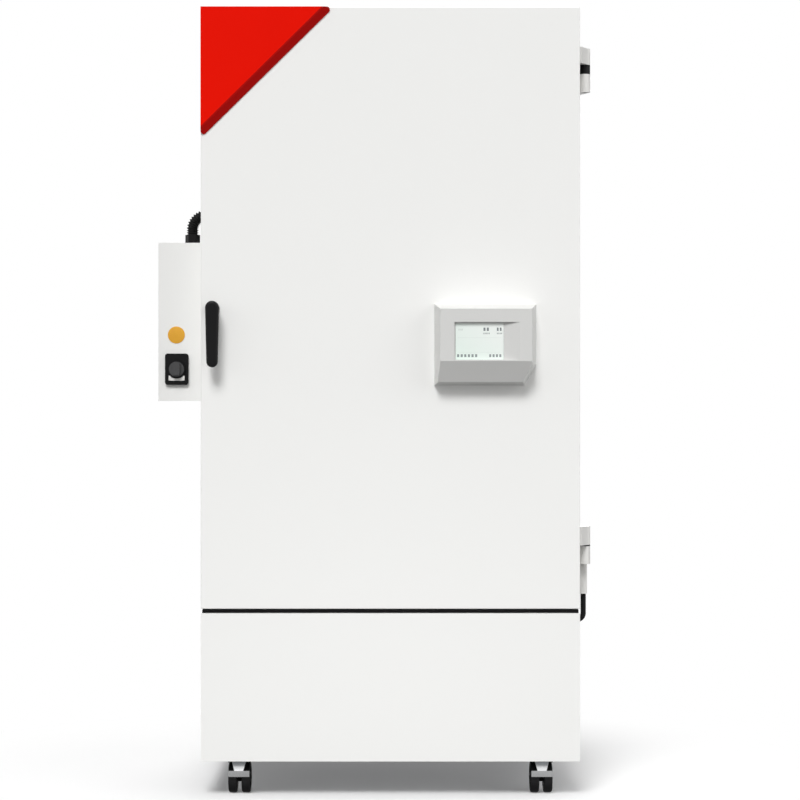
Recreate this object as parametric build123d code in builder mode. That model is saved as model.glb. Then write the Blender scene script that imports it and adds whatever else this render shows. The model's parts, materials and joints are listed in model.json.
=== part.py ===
from build123d import *
import os
from math import atan, cos, degrees, hypot, radians, sin

os.makedirs("parts", exist_ok=True)

# Environmental test chamber, in millimetres. +Z is up and the door faces -Y.
# Depths are measured backwards from the door's outer face, heights from the floor,
# and places to the right from the cabinet's middle.

# The cabinet
width = 925
depth = 800
castor_height = 88
base_height = 361
door_gap = 11
door_height = 1468
door_thickness = 66
gasket_gap = 10
sheet = 2
top_z = castor_height + base_height + door_gap + door_height
base_z = castor_height
base_top = base_z + base_height
door_z = base_top + door_gap
frame_front = door_thickness + gasket_gap
shell_front = frame_front + sheet
panel_back = depth - sheet
shell_back = panel_back - sheet
inner_half = width / 2 - sheet
fit_gap = 0.3
running_gap = 0.05

# The chamber inside it
side_wall = 112.5
mouth_margin = 99
rear_wall = 200
room_width = width - 2 * side_wall
room_height = door_height - 2 * mouth_margin
room_depth = depth - rear_wall
floor_insulation = 115
deck_top = base_top + sheet
room_z = deck_top + floor_insulation + sheet
room_top = room_z + room_height
room_middle = (room_z + room_top) / 2
room_back = shell_front + room_depth
duct_depth = 88
duct_front = room_back - duct_depth - sheet
air_gap = 25
air_wall_x = room_width / 2 - air_gap - sheet

# The inner glass door, hinged on the right inside the mouth
glass_thickness = 6
glass_margin = 5
glass_axis_inset = 12
glass_axis_x = room_width / 2 - glass_axis_inset
glass_axis_setback = 6
glass_axis_depth = shell_front + glass_axis_setback
glass_hinge_height = 50
glass_hinge_inset = 130
glass_pin_radius = 3
glass_knuckle_radius = 6
lug_height = 8

# Shelves and their runners
shelf_heights = {"shelf_upper": 830, "shelf_lower": 390}
shelf_gap = 43
shelf_bar = 6
shelf_clearance = 3
shelf_front = glass_axis_depth + glass_thickness / 2 + shelf_gap
shelf_width = 2 * (air_wall_x - shelf_clearance)
shelf_rear_gap = 8
shelf_depth = duct_front - shelf_rear_gap - shelf_front
runner_width = 14

# The door's hinges on the right edge
hinge_offset = 16.5
knuckle_radius = 14
hinge_pin_radius = 5
hinge_x = width / 2 + hinge_offset
hinge_depth = door_thickness
leaf_thickness = 6
leaf_reach = 42
leaf_setback = 4
upper_hinge_drop = 155.5
lower_hinge_rise = 160.6
hinges = [
    # top of the cabinet's knuckle, its height, the bush above it, the door's knuckle
    (top_z - upper_hinge_drop, 44, 22.5, 39.7),
    (base_top + lower_hinge_rise, 44, 3.0, 46.0),
]

# The door's lever handle and latch
handle_inset = 30.8
handle_rise = 733
handle_x = -width / 2 + handle_inset
handle_z = door_z + handle_rise
handle_length = 130.6
handle_top_radius = 16.75
handle_end_radius = 13.75
handle_thickness = 20
handle_standoff = 32
rose_radius = 15
spindle_radius = 5
cam_length = 28
cam_height = 12
cam_thickness = 4
keeper_height = 70
keeper_thickness = 2.5

# The controller on the door
controller_inset = 342.1
controller_width = 221.9
controller_rise = 730
controller_height = 185
controller_left = width / 2 - controller_inset
controller_right = controller_left + controller_width
controller_top = door_z + controller_rise
controller_bottom = controller_top - controller_height
controller_depth = 60
controller_edge = 13.5
controller_wall = 3
corner_cut_width = 29
corner_cut_height = 50
chin_height = 58.7
chin_z = controller_bottom + chin_height
chin_depth = 33
screen_width = 116
screen_height = 88
screen_inset = 37.1
screen_rise = 62
screen_left = controller_left + screen_inset
screen_bottom = controller_bottom + screen_rise
screen_recess = 8
screen_thickness = 5
ramp_length = 36
board_thickness = 2

# The corner trim on the door
trim_width = 325
trim_height = 320
trim_thickness = 9
trim_bevel = 17
trim_edge = 2
trim_tip = 7

# The access port through the left wall
port_radius = 15
port_wall = 3
port_setback = 270
port_depth = depth - port_setback
port_flange = 28
port_flange_thickness = 5
port_inner_flange = 24
port_inner_thickness = 3
port_length = (width - room_width) / 2
plug_clearance = 0.3
plug_length = 110
plug_cap_radius = 23
plug_cap_thickness = 14

# The electrical box on the left side
side_box_reach = 124
side_box_depth = 260
side_box_port_gap = 70
side_box_front = port_depth - side_box_port_gap - side_box_depth
side_box_rise = 507
side_box_z = door_z + side_box_rise
side_box_height = 400
switch_outset = 77
switch_rise = 80.4
switch_x = -width / 2 - switch_outset
switch_z = side_box_z + switch_rise
switch_width = 59
switch_height = 79
switch_thickness = 8
switch_ring_radius = 22
knob_radius = 19
switch_ring_height = 5
switch_body = 44
switch_body_depth = 40
switch_bore_depth = 20
knob_base_height = 7
knob_grip_width = 18
knob_grip_length = 31
knob_grip_height = 11
knob_shaft_end = 15
conduit_radius = 15
conduit_out = 45
conduit_inset = 90
conduit_depth = side_box_front + conduit_inset
conduit_bend = 36
gland_radius = 19
gland_height = 26
wall_gland_height = 6
wall_gland_rise = 14

# The cable beside the lower hinge
cable_radius = 7
cable_out = 16
cable_depth = 98
cable_rise = 41
cable_drop = 24
cable_top_z = base_top + cable_rise
cable_wall_z = base_top - cable_drop
cable_bend = 15.9

# The castors
castor_side_inset = 90.5
castor_x = width / 2 - castor_side_inset
castor_inset = 100
wheel_radius = 37.5
wheel_width = 21.6
wheel_gap = 11
wheel_trail = 20
wheel_chamfer = 3
axle_radius = 5
kingpin_radius = 3
plate_size = 70
plate_thickness = 4
hood_length = 66
hood_width = 57
hood_thickness = 7
pedal_angle = 8

# The frame's origin is under the middle of the whole box
right_reach = hinge_offset + knuckle_radius
cab_x = (side_box_reach - right_reach) / 2
front_y = -(depth - controller_depth) / 2


def front(at_depth):
    """A plane that faces the viewer: X to the right, Y up. Positive extrusion comes forward."""
    return Plane((cab_x, front_y + at_depth, 0), x_dir=(1, 0, 0), z_dir=(0, -1, 0))


def level(z):
    """A horizontal plane: X to the right, Y backwards."""
    return Plane((cab_x, front_y, z), x_dir=(1, 0, 0), z_dir=(0, 0, 1))


def side(x):
    """A plane that faces right: X backwards, Y up."""
    return Plane((cab_x + x, front_y, 0), x_dir=(0, 1, 0), z_dir=(1, 0, 0))


def rectangle(left, right, bottom, top, mode=Mode.ADD):
    """A rectangle between its edges, in the sketch that is open."""
    with Locations(((left + right) / 2, (bottom + top) / 2)):
        Rectangle(right - left, top - bottom, mode=mode)


def save(piece, name):
    """Label a finished piece and write it."""
    solid = piece.part if isinstance(piece, BuildPart) else piece
    solid.label = name
    export_step(solid, f"parts/{name}.step")


# Outer casing: left, right and top in one folded sheet
conduit_wall_z = side_box_z + side_box_height + gland_height + conduit_bend + wall_gland_rise
port_outer = port_radius + port_wall
with BuildPart() as outer_casing:
    with BuildSketch(front(shell_back)):
        rectangle(-width / 2, width / 2, base_z, top_z)
        rectangle(-inner_half, inner_half, base_z, top_z - sheet, mode=Mode.SUBTRACT)
    extrude(amount=shell_back - shell_front)
    with BuildSketch(side(-inner_half)):
        with Locations((conduit_depth, conduit_wall_z)):
            Circle(conduit_radius)
        with Locations((port_depth, room_middle)):
            Circle(port_outer)
    extrude(amount=-sheet, mode=Mode.SUBTRACT)
    with BuildSketch(side(inner_half)):
        with Locations((cable_depth, cable_wall_z)):
            Circle(cable_radius)
    extrude(amount=sheet, mode=Mode.SUBTRACT)
save(outer_casing, "outer_casing")

# Rear panel with the window for the condenser's air
window_half = 230
window_rise = 40
window_bottom = base_z + window_rise
window_drop = 61
window_top = base_top - window_drop
with BuildPart() as rear_panel:
    with BuildSketch(front(panel_back)):
        rectangle(-width / 2, width / 2, base_z, top_z)
        rectangle(-window_half, window_half, window_bottom, window_top, mode=Mode.SUBTRACT)
    extrude(amount=sheet)
save(rear_panel, "rear_panel")

# Rear grille over that window
grille_margin = 20
slat_pitch = 20
slat_opening = 8
slat_columns = 2
slat_rows = int((window_top - window_bottom) / slat_pitch)
slat_gap = 30
slat_length = (2 * window_half - slat_gap * slat_columns) / slat_columns
with BuildPart() as rear_grille:
    with BuildSketch(front(depth)):
        rectangle(
            -window_half - grille_margin,
            window_half + grille_margin,
            window_bottom - grille_margin,
            window_top + grille_margin,
        )
        with Locations((0, (window_bottom + window_top) / 2)):
            with GridLocations(slat_length + slat_gap, slat_pitch, slat_columns, slat_rows):
                Rectangle(slat_length, slat_opening, mode=Mode.SUBTRACT)
    extrude(amount=sheet)
save(rear_grille, "rear_grille")

# Base chassis: a tray with two rails over the castors, and the deck above the machinery
tray_thickness = 3
rail_width = 60
rail_height = 25
tray_top = base_z + tray_thickness
with BuildPart() as base_chassis:
    with BuildSketch(level(base_z)):
        rectangle(-inner_half, inner_half, sheet, shell_back)
    extrude(amount=tray_thickness)
    with BuildSketch(level(tray_top)):
        for rail_x in (-castor_x, castor_x):
            rectangle(rail_x - rail_width / 2, rail_x + rail_width / 2, sheet, shell_back)
    extrude(amount=rail_height)
    with BuildSketch(level(base_top)):
        rectangle(-inner_half, inner_half, shell_front, shell_back)
    extrude(amount=sheet)
save(base_chassis, "base_chassis")

# Base front panel: a pan, flush with the door
with BuildPart() as base_front_panel:
    with BuildSketch(front(shell_front)):
        rectangle(-width / 2, width / 2, base_z, base_top)
    extrude(amount=shell_front)
    with BuildSketch(front(shell_front)):
        rectangle(-inner_half, inner_half, base_z, base_top - sheet)
    extrude(amount=shell_front - sheet, mode=Mode.SUBTRACT)
save(base_front_panel, "base_front_panel")

# Front frame round the chamber's mouth
mouth_corner = 8
with BuildPart() as front_frame:
    with BuildSketch(front(shell_front)):
        rectangle(-width / 2, width / 2, base_top, top_z)
        with Locations((0, room_middle)):
            RectangleRounded(room_width, room_height, mouth_corner, mode=Mode.SUBTRACT)
    extrude(amount=sheet)
save(front_frame, "front_frame")

# Insulation between casing and liner, with tunnels for the port and the fan's motor
liner_half = room_width / 2 + sheet
motor_radius = 45
motor_length = 90
motor_drop = 330
motor_z = room_top - motor_drop
shaft_radius = 6
with BuildPart() as cabinet_insulation:
    with BuildSketch(front(shell_back)):
        rectangle(-inner_half, inner_half, deck_top, top_z - sheet)
        with Locations((0, motor_z)):
            Circle(motor_radius + fit_gap, mode=Mode.SUBTRACT)
    extrude(amount=shell_back - shell_front)
    with BuildSketch(front(room_back + sheet)):
        rectangle(-liner_half, liner_half, room_z - sheet, room_top + sheet)
    extrude(amount=room_back + sheet - shell_front, mode=Mode.SUBTRACT)
    with BuildSketch(side(-inner_half)):
        with Locations((port_depth, room_middle)):
            Circle(port_outer)
        with Locations((conduit_depth, conduit_wall_z)):
            Circle(conduit_radius)
    extrude(amount=inner_half - liner_half, mode=Mode.SUBTRACT)
    with BuildSketch(side(inner_half)):
        with Locations((cable_depth, cable_wall_z)):
            Circle(cable_radius)
    extrude(amount=-gland_height, mode=Mode.SUBTRACT)
save(cabinet_insulation, "cabinet_insulation")

# Chamber liner: five stainless panels, welded into a box that is open in front
liner_bottom = room_z - sheet
liner_top = room_top + sheet
room_half = room_width / 2
liner_walls = {
    "left": (-liner_half, -room_half, liner_bottom, liner_top),
    "right": (room_half, liner_half, liner_bottom, liner_top),
    "bottom": (-room_half, room_half, liner_bottom, room_z),
    "top": (-room_half, room_half, room_top, liner_top),
}
with BuildPart() as liner_back:
    with BuildSketch(front(room_back + sheet)):
        rectangle(-liner_half, liner_half, liner_bottom, liner_top)
        with Locations((0, motor_z)):
            Circle(shaft_radius + 2, mode=Mode.SUBTRACT)
    extrude(amount=sheet)
liner_panels = [liner_back.part]
for edges_of_wall in liner_walls.values():
    with BuildPart() as liner_wall:
        with BuildSketch(front(room_back)):
            rectangle(*edges_of_wall)
        extrude(amount=room_depth)
        with BuildSketch(side(-liner_half)):
            with Locations((port_depth, room_middle)):
                Circle(port_outer)
        extrude(amount=sheet, mode=Mode.SUBTRACT)
    liner_panels.append(liner_wall.part)
save(Compound(children=liner_panels), "chamber_liner")

# Air walls: a perforated channel on each side, and the angles that the shelves slide on
air_wall_lead = 5
air_wall_front = shelf_front - air_wall_lead
vent_rows = 11
vent_columns = 4
vent_pitch_z = 105
vent_pitch_depth = 105
vent_length = 60
vent_height = 12
air_wall_pieces = []
for hand in (-1, 1):
    face = hand * air_wall_x
    back = hand * (air_wall_x + sheet)
    wall = hand * room_width / 2
    with BuildPart() as channel:
        with BuildSketch(level(room_z)):
            rectangle(min(face, back), max(face, back), air_wall_front, duct_front)
            for near, far in (
                (air_wall_front, air_wall_front + sheet),
                (duct_front - sheet, duct_front),
            ):
                rectangle(min(face, wall), max(face, wall), near, far)
        extrude(amount=room_height)
        with BuildSketch(side(min(face, back))):
            with Locations(((air_wall_front + duct_front) / 2, room_middle)):
                with GridLocations(vent_pitch_depth, vent_pitch_z, vent_columns, vent_rows):
                    Rectangle(vent_length, vent_height)
        extrude(amount=sheet, mode=Mode.SUBTRACT)
        with BuildSketch(side(-air_wall_x - sheet)):
            with Locations((port_depth, room_middle)):
                Circle(port_outer)
        extrude(amount=sheet, mode=Mode.SUBTRACT)
    air_wall_pieces.append(channel.part)
    for height in shelf_heights.values():
        with BuildPart() as runner:
            with BuildSketch(level(room_z + height - sheet)):
                ledge = hand * (air_wall_x - runner_width)
                rectangle(min(face, ledge), max(face, ledge), shelf_front, shelf_front + shelf_depth)
            extrude(amount=sheet)
        air_wall_pieces.append(runner.part)
save(Compound(children=air_wall_pieces), "air_walls")

# Rear duct panel: the fan's intake in the middle, slots that blow out at the top and bottom
intake_length = 130
intake_slots = 7
outlet_length = 96
outlet_columns = 5
outlet_inset = 60
with BuildPart() as rear_duct_panel:
    with BuildSketch(front(duct_front + sheet)):
        rectangle(-room_width / 2, room_width / 2, room_z, room_top)
        with Locations((0, motor_z)):
            with GridLocations(0, 2 * vent_height, 1, intake_slots):
                Rectangle(intake_length, vent_height, mode=Mode.SUBTRACT)
        for slot_z in (room_z + outlet_inset, room_top - outlet_inset):
            with Locations((0, slot_z)):
                with GridLocations(1.25 * outlet_length, 2 * vent_height, outlet_columns, 2):
                    Rectangle(outlet_length, vent_height, mode=Mode.SUBTRACT)
    extrude(amount=sheet)
save(rear_duct_panel, "rear_duct_panel")

# Evaporator: a finned block behind the duct panel, on two feet
evaporator_width = 520
evaporator_height = 240
evaporator_rise = 130
evaporator_front_gap = 12
evaporator_back_gap = 6
evaporator_z = room_z + evaporator_rise
evaporator_front = duct_front + sheet + evaporator_front_gap
evaporator_back = room_back - evaporator_back_gap
fin_pitch = 26
fin_thickness = 3
fin_stand = 8
with BuildPart() as evaporator:
    with BuildSketch(level(evaporator_z)):
        rectangle(
            -evaporator_width / 2,
            evaporator_width / 2,
            evaporator_front + fin_stand,
            evaporator_back - fin_stand,
        )
        with Locations((0, (evaporator_front + evaporator_back) / 2)):
            with GridLocations(fin_pitch, 0, int(evaporator_width / fin_pitch) + 1, 1):
                Rectangle(fin_thickness, evaporator_back - evaporator_front)
    extrude(amount=evaporator_height)
    with BuildSketch(level(room_z)):
        for foot_x in (-evaporator_width / 2, evaporator_width / 2):
            rectangle(foot_x - fin_thickness, foot_x + fin_thickness, evaporator_front, evaporator_back)
    extrude(amount=evaporator_z + evaporator_height - room_z)
save(evaporator, "evaporator")

# Heater coil: one ring of tube round the circulation fan, on a stay from the liner's back
fan_radius = 115
coil_radius = 150
coil_tube = 4
coil_gap = 40
coil_depth = duct_front + sheet + coil_gap
with BuildPart() as heater_coil:
    with BuildSketch(side(0)):
        with Locations((coil_depth, motor_z + coil_radius)):
            Circle(coil_tube)
    revolve(axis=Axis((cab_x, front_y, motor_z), (0, 1, 0)))
    with BuildSketch(front(room_back)):
        with Locations((coil_radius, motor_z), (-coil_radius, motor_z)):
            Circle(coil_tube)
    extrude(amount=room_back - coil_depth)
save(heater_coil, "heater_coil")

# Circulation fan's motor in the rear wall, its shaft through the liner
fan_gap = 22
fan_depth = duct_front + sheet + fan_gap
fan_width = 40
with BuildPart() as circulation_fan_motor:
    with BuildSketch(front(shell_back)):
        with Locations((0, motor_z)):
            Circle(motor_radius)
    extrude(amount=motor_length)
    with BuildSketch(front(shell_back)):
        with Locations((0, motor_z)):
            Circle(shaft_radius)
    extrude(amount=shell_back - fan_depth)
save(circulation_fan_motor, "circulation_fan_motor")

# Circulation fan: a back plate, a hub and curved blades
fan_blades = 8
fan_back = fan_depth + fan_width
fan_hub = 20
blade_sweep = 35
with BuildPart() as circulation_fan:
    with BuildSketch(front(fan_back)):
        with Locations((0, motor_z)):
            Circle(fan_radius)
    extrude(amount=sheet)
    with BuildSketch(front(fan_back)):
        with Locations((0, motor_z)):
            Circle(fan_hub)
    extrude(amount=fan_width)
    with BuildSketch(front(fan_back)):
        with Locations((0, motor_z)):
            with PolarLocations(0.7 * fan_radius, fan_blades):
                Rectangle(fan_radius / 2, sheet, rotation=blade_sweep)
    extrude(amount=fan_width)
    with BuildSketch(front(fan_back)):
        with Locations((0, motor_z)):
            Circle(shaft_radius + running_gap)
    extrude(amount=fan_width, mode=Mode.SUBTRACT)
save(circulation_fan, "circulation_fan")

# Compressor: a domed steel shell on a plate with four rubber-mounted feet
compressor_x = -210
compressor_depth = 420
compressor_radius = 78
compressor_height = 190
compressor_dome = 24
compressor_plate = (180, 140)
compressor_plate_thickness = 4
foot_height = 14
foot_radius = 11
foot_inset = 15
foot_span_x = compressor_plate[0] - 2 * foot_inset
foot_span_depth = compressor_plate[1] - 2 * foot_inset
with BuildPart() as compressor:
    with BuildSketch(level(tray_top)):
        with Locations((compressor_x, compressor_depth)):
            with GridLocations(foot_span_x, foot_span_depth, 2, 2):
                Circle(foot_radius)
    extrude(amount=foot_height)
    with BuildSketch(level(tray_top + foot_height)):
        with Locations((compressor_x, compressor_depth)):
            Rectangle(*compressor_plate)
    extrude(amount=compressor_plate_thickness)
    with BuildSketch(level(tray_top + foot_height + compressor_plate_thickness)):
        with Locations((compressor_x, compressor_depth)):
            Circle(compressor_radius)
    extrude(amount=compressor_height)
    chamfer(faces().sort_by(Axis.Z)[-1].edges(), compressor_dome)
save(compressor, "compressor")

# Condenser: a finned block behind the rear grille, standing on the tray
condenser_half = 190
condenser_height = 250
condenser_fin_pitch = 20
condenser_thickness = 84
condenser_back_gap = 12
condenser_back = shell_back - condenser_back_gap
condenser_front = condenser_back - condenser_thickness
condenser_top = tray_top + condenser_height
with BuildPart() as condenser:
    with BuildSketch(level(tray_top)):
        rectangle(
            -condenser_half,
            condenser_half,
            condenser_front + fin_stand,
            condenser_back - fin_stand,
        )
        with Locations((0, (condenser_front + condenser_back) / 2)):
            with GridLocations(condenser_fin_pitch, 0, int(2 * condenser_half / condenser_fin_pitch) + 1, 1):
                Rectangle(fin_thickness, condenser_back - condenser_front)
    extrude(amount=condenser_height)
save(condenser, "condenser")

# Condenser fan's shroud, with the motor on its arms
shroud_half = 130
shroud_depth = 44
shroud_z = tray_top + shroud_half
shroud_front = condenser_front - shroud_depth
condenser_fan_radius = 112
blade_clearance = 4
shroud_arm = 12
shroud_arm_thickness = 6
small_motor_radius = 32
small_motor_length = 50
small_shaft_radius = 4
with BuildPart() as condenser_fan_shroud:
    with BuildSketch(front(condenser_front)):
        with Locations((0, shroud_z)):
            Rectangle(2 * shroud_half, 2 * shroud_half)
            Circle(condenser_fan_radius + blade_clearance, mode=Mode.SUBTRACT)
    extrude(amount=shroud_depth)
    with BuildSketch(front(shroud_front)):
        with Locations((0, shroud_z)):
            Rectangle(2 * shroud_half, shroud_arm)
            Rectangle(shroud_arm, 2 * shroud_half)
            Circle(small_motor_radius)
    extrude(amount=shroud_arm_thickness)
    with BuildSketch(front(shroud_front)):
        with Locations((0, shroud_z)):
            Circle(small_motor_radius)
    extrude(amount=small_motor_length)
    with BuildSketch(front(condenser_front - shroud_arm_thickness)):
        with Locations((0, shroud_z)):
            Circle(small_shaft_radius)
    extrude(amount=shroud_depth - shroud_arm_thickness)
save(condenser_fan_shroud, "condenser_fan_shroud")

# Condenser fan: pitched blades on a hub that fits the motor's shaft
condenser_fan_gap = 8
condenser_fan_front = shroud_front + condenser_fan_gap
condenser_fan_depth = 24
blade_chord = 50
blade_pitch = 22
blade_count = 5
blade_thickness = 2
blade_root = 4
fan_hub_radius = 34
with BuildPart() as condenser_fan:
    with BuildSketch(front(condenser_fan_front + condenser_fan_depth)):
        with Locations((0, shroud_z)):
            Circle(fan_hub_radius)
            Circle(small_shaft_radius + running_gap, mode=Mode.SUBTRACT)
    extrude(amount=condenser_fan_depth)
    for blade in range(blade_count):
        turn = radians(360 / blade_count * blade)
        outward = Plane(
            (cab_x, front_y + condenser_fan_front + condenser_fan_depth / 2, shroud_z),
            x_dir=(0, 1, 0),
            z_dir=(cos(turn), 0, sin(turn)),
        )
        with BuildSketch(outward.offset(fan_hub_radius - blade_root)):
            Rectangle(blade_thickness, blade_chord, rotation=blade_pitch)
        extrude(amount=condenser_fan_radius - fan_hub_radius)
save(condenser_fan, "condenser_fan")

# Refrigerant pipes: compressor to condenser, and compressor up to the deck
pipe_radius = 5
pipe_bend = 30
pipe_rise = 110
pipe_offset = 20
suction_radius = 7
suction_offset = -25
pipe_x = compressor_x + pipe_offset
pipe_z = tray_top + foot_height + compressor_plate_thickness + compressor_height
with BuildPart() as refrigerant_pipes:
    with BuildLine() as discharge:
        FilletPolyline(
            (cab_x + pipe_x, front_y + compressor_depth, pipe_z),
            (cab_x + pipe_x, front_y + compressor_depth, pipe_z + pipe_rise),
            (cab_x + pipe_x, front_y + condenser_front + pipe_offset, pipe_z + pipe_rise),
            (cab_x + pipe_x, front_y + condenser_front + pipe_offset, condenser_top),
            radius=pipe_bend,
        )
    with BuildSketch(Plane(discharge.line @ 0, z_dir=discharge.line % 0)):
        Circle(pipe_radius)
    sweep(path=discharge.line)
    with BuildSketch(level(pipe_z)):
        with Locations((compressor_x + suction_offset, compressor_depth)):
            Circle(suction_radius)
    extrude(amount=base_top - pipe_z)
save(refrigerant_pipes, "refrigerant_pipes")

# Side box: a folded shell, open to the left under its cover
side_box_left = -width / 2 - side_box_reach
side_box_back = side_box_front + side_box_depth
side_box_top = side_box_z + side_box_height
switch_shaft_radius = 4
switch_opening = 6
gland_bore = 12
with BuildPart() as side_box:
    with BuildSketch(front(side_box_back)):
        rectangle(side_box_left + sheet, -width / 2, side_box_z, side_box_top)
    extrude(amount=side_box_depth)
    with BuildSketch(front(side_box_back - sheet)):
        rectangle(side_box_left + sheet, -width / 2 - sheet, side_box_z + sheet, side_box_top - sheet)
    extrude(amount=side_box_depth - 2 * sheet, mode=Mode.SUBTRACT)
    with BuildSketch(front(side_box_front + sheet)):
        with Locations((switch_x, switch_z)):
            Circle(switch_opening)
    extrude(amount=sheet, mode=Mode.SUBTRACT)
    with BuildSketch(level(side_box_top)):
        with Locations((-width / 2 - conduit_out, conduit_depth)):
            Circle(gland_bore)
    extrude(amount=-sheet, mode=Mode.SUBTRACT)
save(side_box, "side_box")

with BuildPart() as side_box_cover:
    with BuildSketch(side(side_box_left)):
        rectangle(side_box_front, side_box_back, side_box_z, side_box_top)
    extrude(amount=sheet)
save(side_box_cover, "side_box_cover")

# Terminal rail inside the side box: a rail on the box's back wall with a row of terminals
rail_drop = 150
rail_z = side_box_top - rail_drop
rail_margin = 30
rail_half = 17
rail_thickness = 4
terminal_count = 8
terminal_pitch = 22
terminal_width = 19
terminal_height = 60
terminal_reach = 34
with BuildPart() as terminal_rail:
    with BuildSketch(side(-width / 2 - sheet)):
        rectangle(
            side_box_front + rail_margin,
            side_box_back - rail_margin,
            rail_z - rail_half,
            rail_z + rail_half,
        )
    extrude(amount=-rail_thickness)
    with BuildSketch(side(-width / 2 - sheet - rail_thickness)):
        with Locations((side_box_front + side_box_depth / 2, rail_z)):
            with GridLocations(terminal_pitch, 0, terminal_count, 1):
                Rectangle(terminal_width, terminal_height)
    extrude(amount=-terminal_reach)
save(terminal_rail, "terminal_rail")

# Main switch: a plate with a raised ring, and a knob that turns in it
with BuildPart() as switch_base:
    with BuildSketch(front(side_box_front)):
        with Locations((switch_x, switch_z)):
            RectangleRounded(switch_width, switch_height, 7)
    extrude(amount=switch_thickness)
    with BuildSketch(front(side_box_front - switch_thickness)):
        with Locations((switch_x, switch_z)):
            Circle(switch_ring_radius)
            Circle(knob_radius + fit_gap, mode=Mode.SUBTRACT)
    extrude(amount=switch_ring_height)
    with BuildSketch(front(side_box_front + sheet + switch_body_depth)):
        with Locations((switch_x, switch_z)):
            Rectangle(switch_body, switch_body)
    extrude(amount=switch_body_depth)
    with BuildSketch(front(side_box_front + sheet)):
        with Locations((switch_x, switch_z)):
            Circle(switch_opening)
    extrude(amount=sheet)
    with BuildSketch(front(side_box_front + sheet + switch_bore_depth)):
        with Locations((switch_x, switch_z)):
            Circle(switch_shaft_radius + running_gap)
    extrude(amount=sheet + switch_bore_depth + switch_thickness, mode=Mode.SUBTRACT)
save(switch_base, "switch_base")

with BuildPart() as switch_knob:
    knob_back = side_box_front - switch_thickness - fit_gap
    with BuildSketch(front(knob_back)):
        with Locations((switch_x, switch_z)):
            Circle(knob_radius)
    extrude(amount=knob_base_height)
    with BuildSketch(front(knob_back - knob_base_height)):
        with Locations((switch_x, switch_z)):
            RectangleRounded(knob_grip_width, knob_grip_length, 5)
    extrude(amount=knob_grip_height)
    with BuildSketch(front(knob_back)):
        with Locations((switch_x, switch_z)):
            Circle(switch_shaft_radius)
    extrude(amount=-(switch_thickness + sheet + knob_shaft_end))
save(switch_knob, "switch_knob")

# Conduit from the box's top into the cabinet's wall, between two glands
conduit_x = -width / 2 - conduit_out
with BuildPart() as side_conduit:
    with BuildLine() as conduit_path:
        FilletPolyline(
            (cab_x + conduit_x, front_y + conduit_depth, side_box_top + gland_height),
            (cab_x + conduit_x, front_y + conduit_depth, conduit_wall_z),
            (cab_x - inner_half, front_y + conduit_depth, conduit_wall_z),
            radius=conduit_bend,
        )
    with BuildSketch(Plane(conduit_path.line @ 0, z_dir=conduit_path.line % 0)):
        Circle(conduit_radius)
    sweep(path=conduit_path.line)
save(side_conduit, "side_conduit")

# Glands: one at each end of the conduit, and the mains inlet's at the back of the box
mains_gland_outset = 80
mains_gland_rise = 45
mains_gland_x = -width / 2 - mains_gland_outset
mains_gland_z = side_box_z + mains_gland_rise
mains_gland_radius = 16
mains_gland_length = 24
with BuildPart() as conduit_glands:
    with BuildSketch(level(side_box_top)):
        with Locations((conduit_x, conduit_depth)):
            RegularPolygon(gland_radius, 6)
    extrude(amount=gland_height)
    with BuildSketch(side(-width / 2)):
        with Locations((conduit_depth, conduit_wall_z)):
            Circle(gland_radius)
            Circle(conduit_radius, mode=Mode.SUBTRACT)
    extrude(amount=-wall_gland_height)
    with BuildSketch(front(side_box_back)):
        with Locations((mains_gland_x, mains_gland_z)):
            RegularPolygon(mains_gland_radius, 6)
    extrude(amount=-mains_gland_length)
save(conduit_glands, "conduit_glands")

# Hinges: brackets on the cabinet, leaves on the door, and pins with their bushes
with BuildPart() as hinge_brackets:
    for knuckle_top, bracket_height, bush_height, door_knuckle in hinges:
        with BuildSketch(level(knuckle_top - bracket_height)):
            with Locations((hinge_x, hinge_depth)):
                Circle(knuckle_radius)
            with BuildLine():
                Polyline(
                    (width / 2, shell_front),
                    (width / 2, shell_front + leaf_reach),
                    (width / 2 + leaf_thickness, shell_front + leaf_reach),
                    (hinge_x + knuckle_radius, hinge_depth),
                    (hinge_x - knuckle_radius, hinge_depth),
                    close=True,
                )
            make_face()
            with Locations((hinge_x, hinge_depth)):
                Circle(hinge_pin_radius, mode=Mode.SUBTRACT)
        extrude(amount=bracket_height)
save(hinge_brackets, "hinge_brackets")

with BuildPart() as hinge_pins:
    for knuckle_top, bracket_height, bush_height, door_knuckle in hinges:
        with BuildSketch(level(knuckle_top - bracket_height)):
            with Locations((hinge_x, hinge_depth)):
                Circle(hinge_pin_radius)
        extrude(amount=bracket_height + bush_height + door_knuckle)
        with BuildSketch(level(knuckle_top)):
            with Locations((hinge_x, hinge_depth)):
                Circle(knuckle_radius)
        extrude(amount=bush_height)
save(hinge_pins, "hinge_pins")

with BuildPart() as hinge_leaves:
    for knuckle_top, bracket_height, bush_height, door_knuckle in hinges:
        leaf_z = knuckle_top + bush_height + fit_gap
        with BuildSketch(level(leaf_z)):
            with Locations((hinge_x, hinge_depth)):
                Circle(knuckle_radius)
            with BuildLine():
                Polyline(
                    (width / 2, door_thickness - leaf_setback),
                    (width / 2, door_thickness - leaf_reach),
                    (width / 2 + leaf_thickness, door_thickness - leaf_reach),
                    (hinge_x + knuckle_radius, hinge_depth),
                    (hinge_x - knuckle_radius, hinge_depth),
                    close=True,
                )
            make_face()
            with Locations((hinge_x, hinge_depth)):
                Circle(hinge_pin_radius + running_gap, mode=Mode.SUBTRACT)
        extrude(amount=door_knuckle)
save(hinge_leaves, "hinge_leaves")

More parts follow.
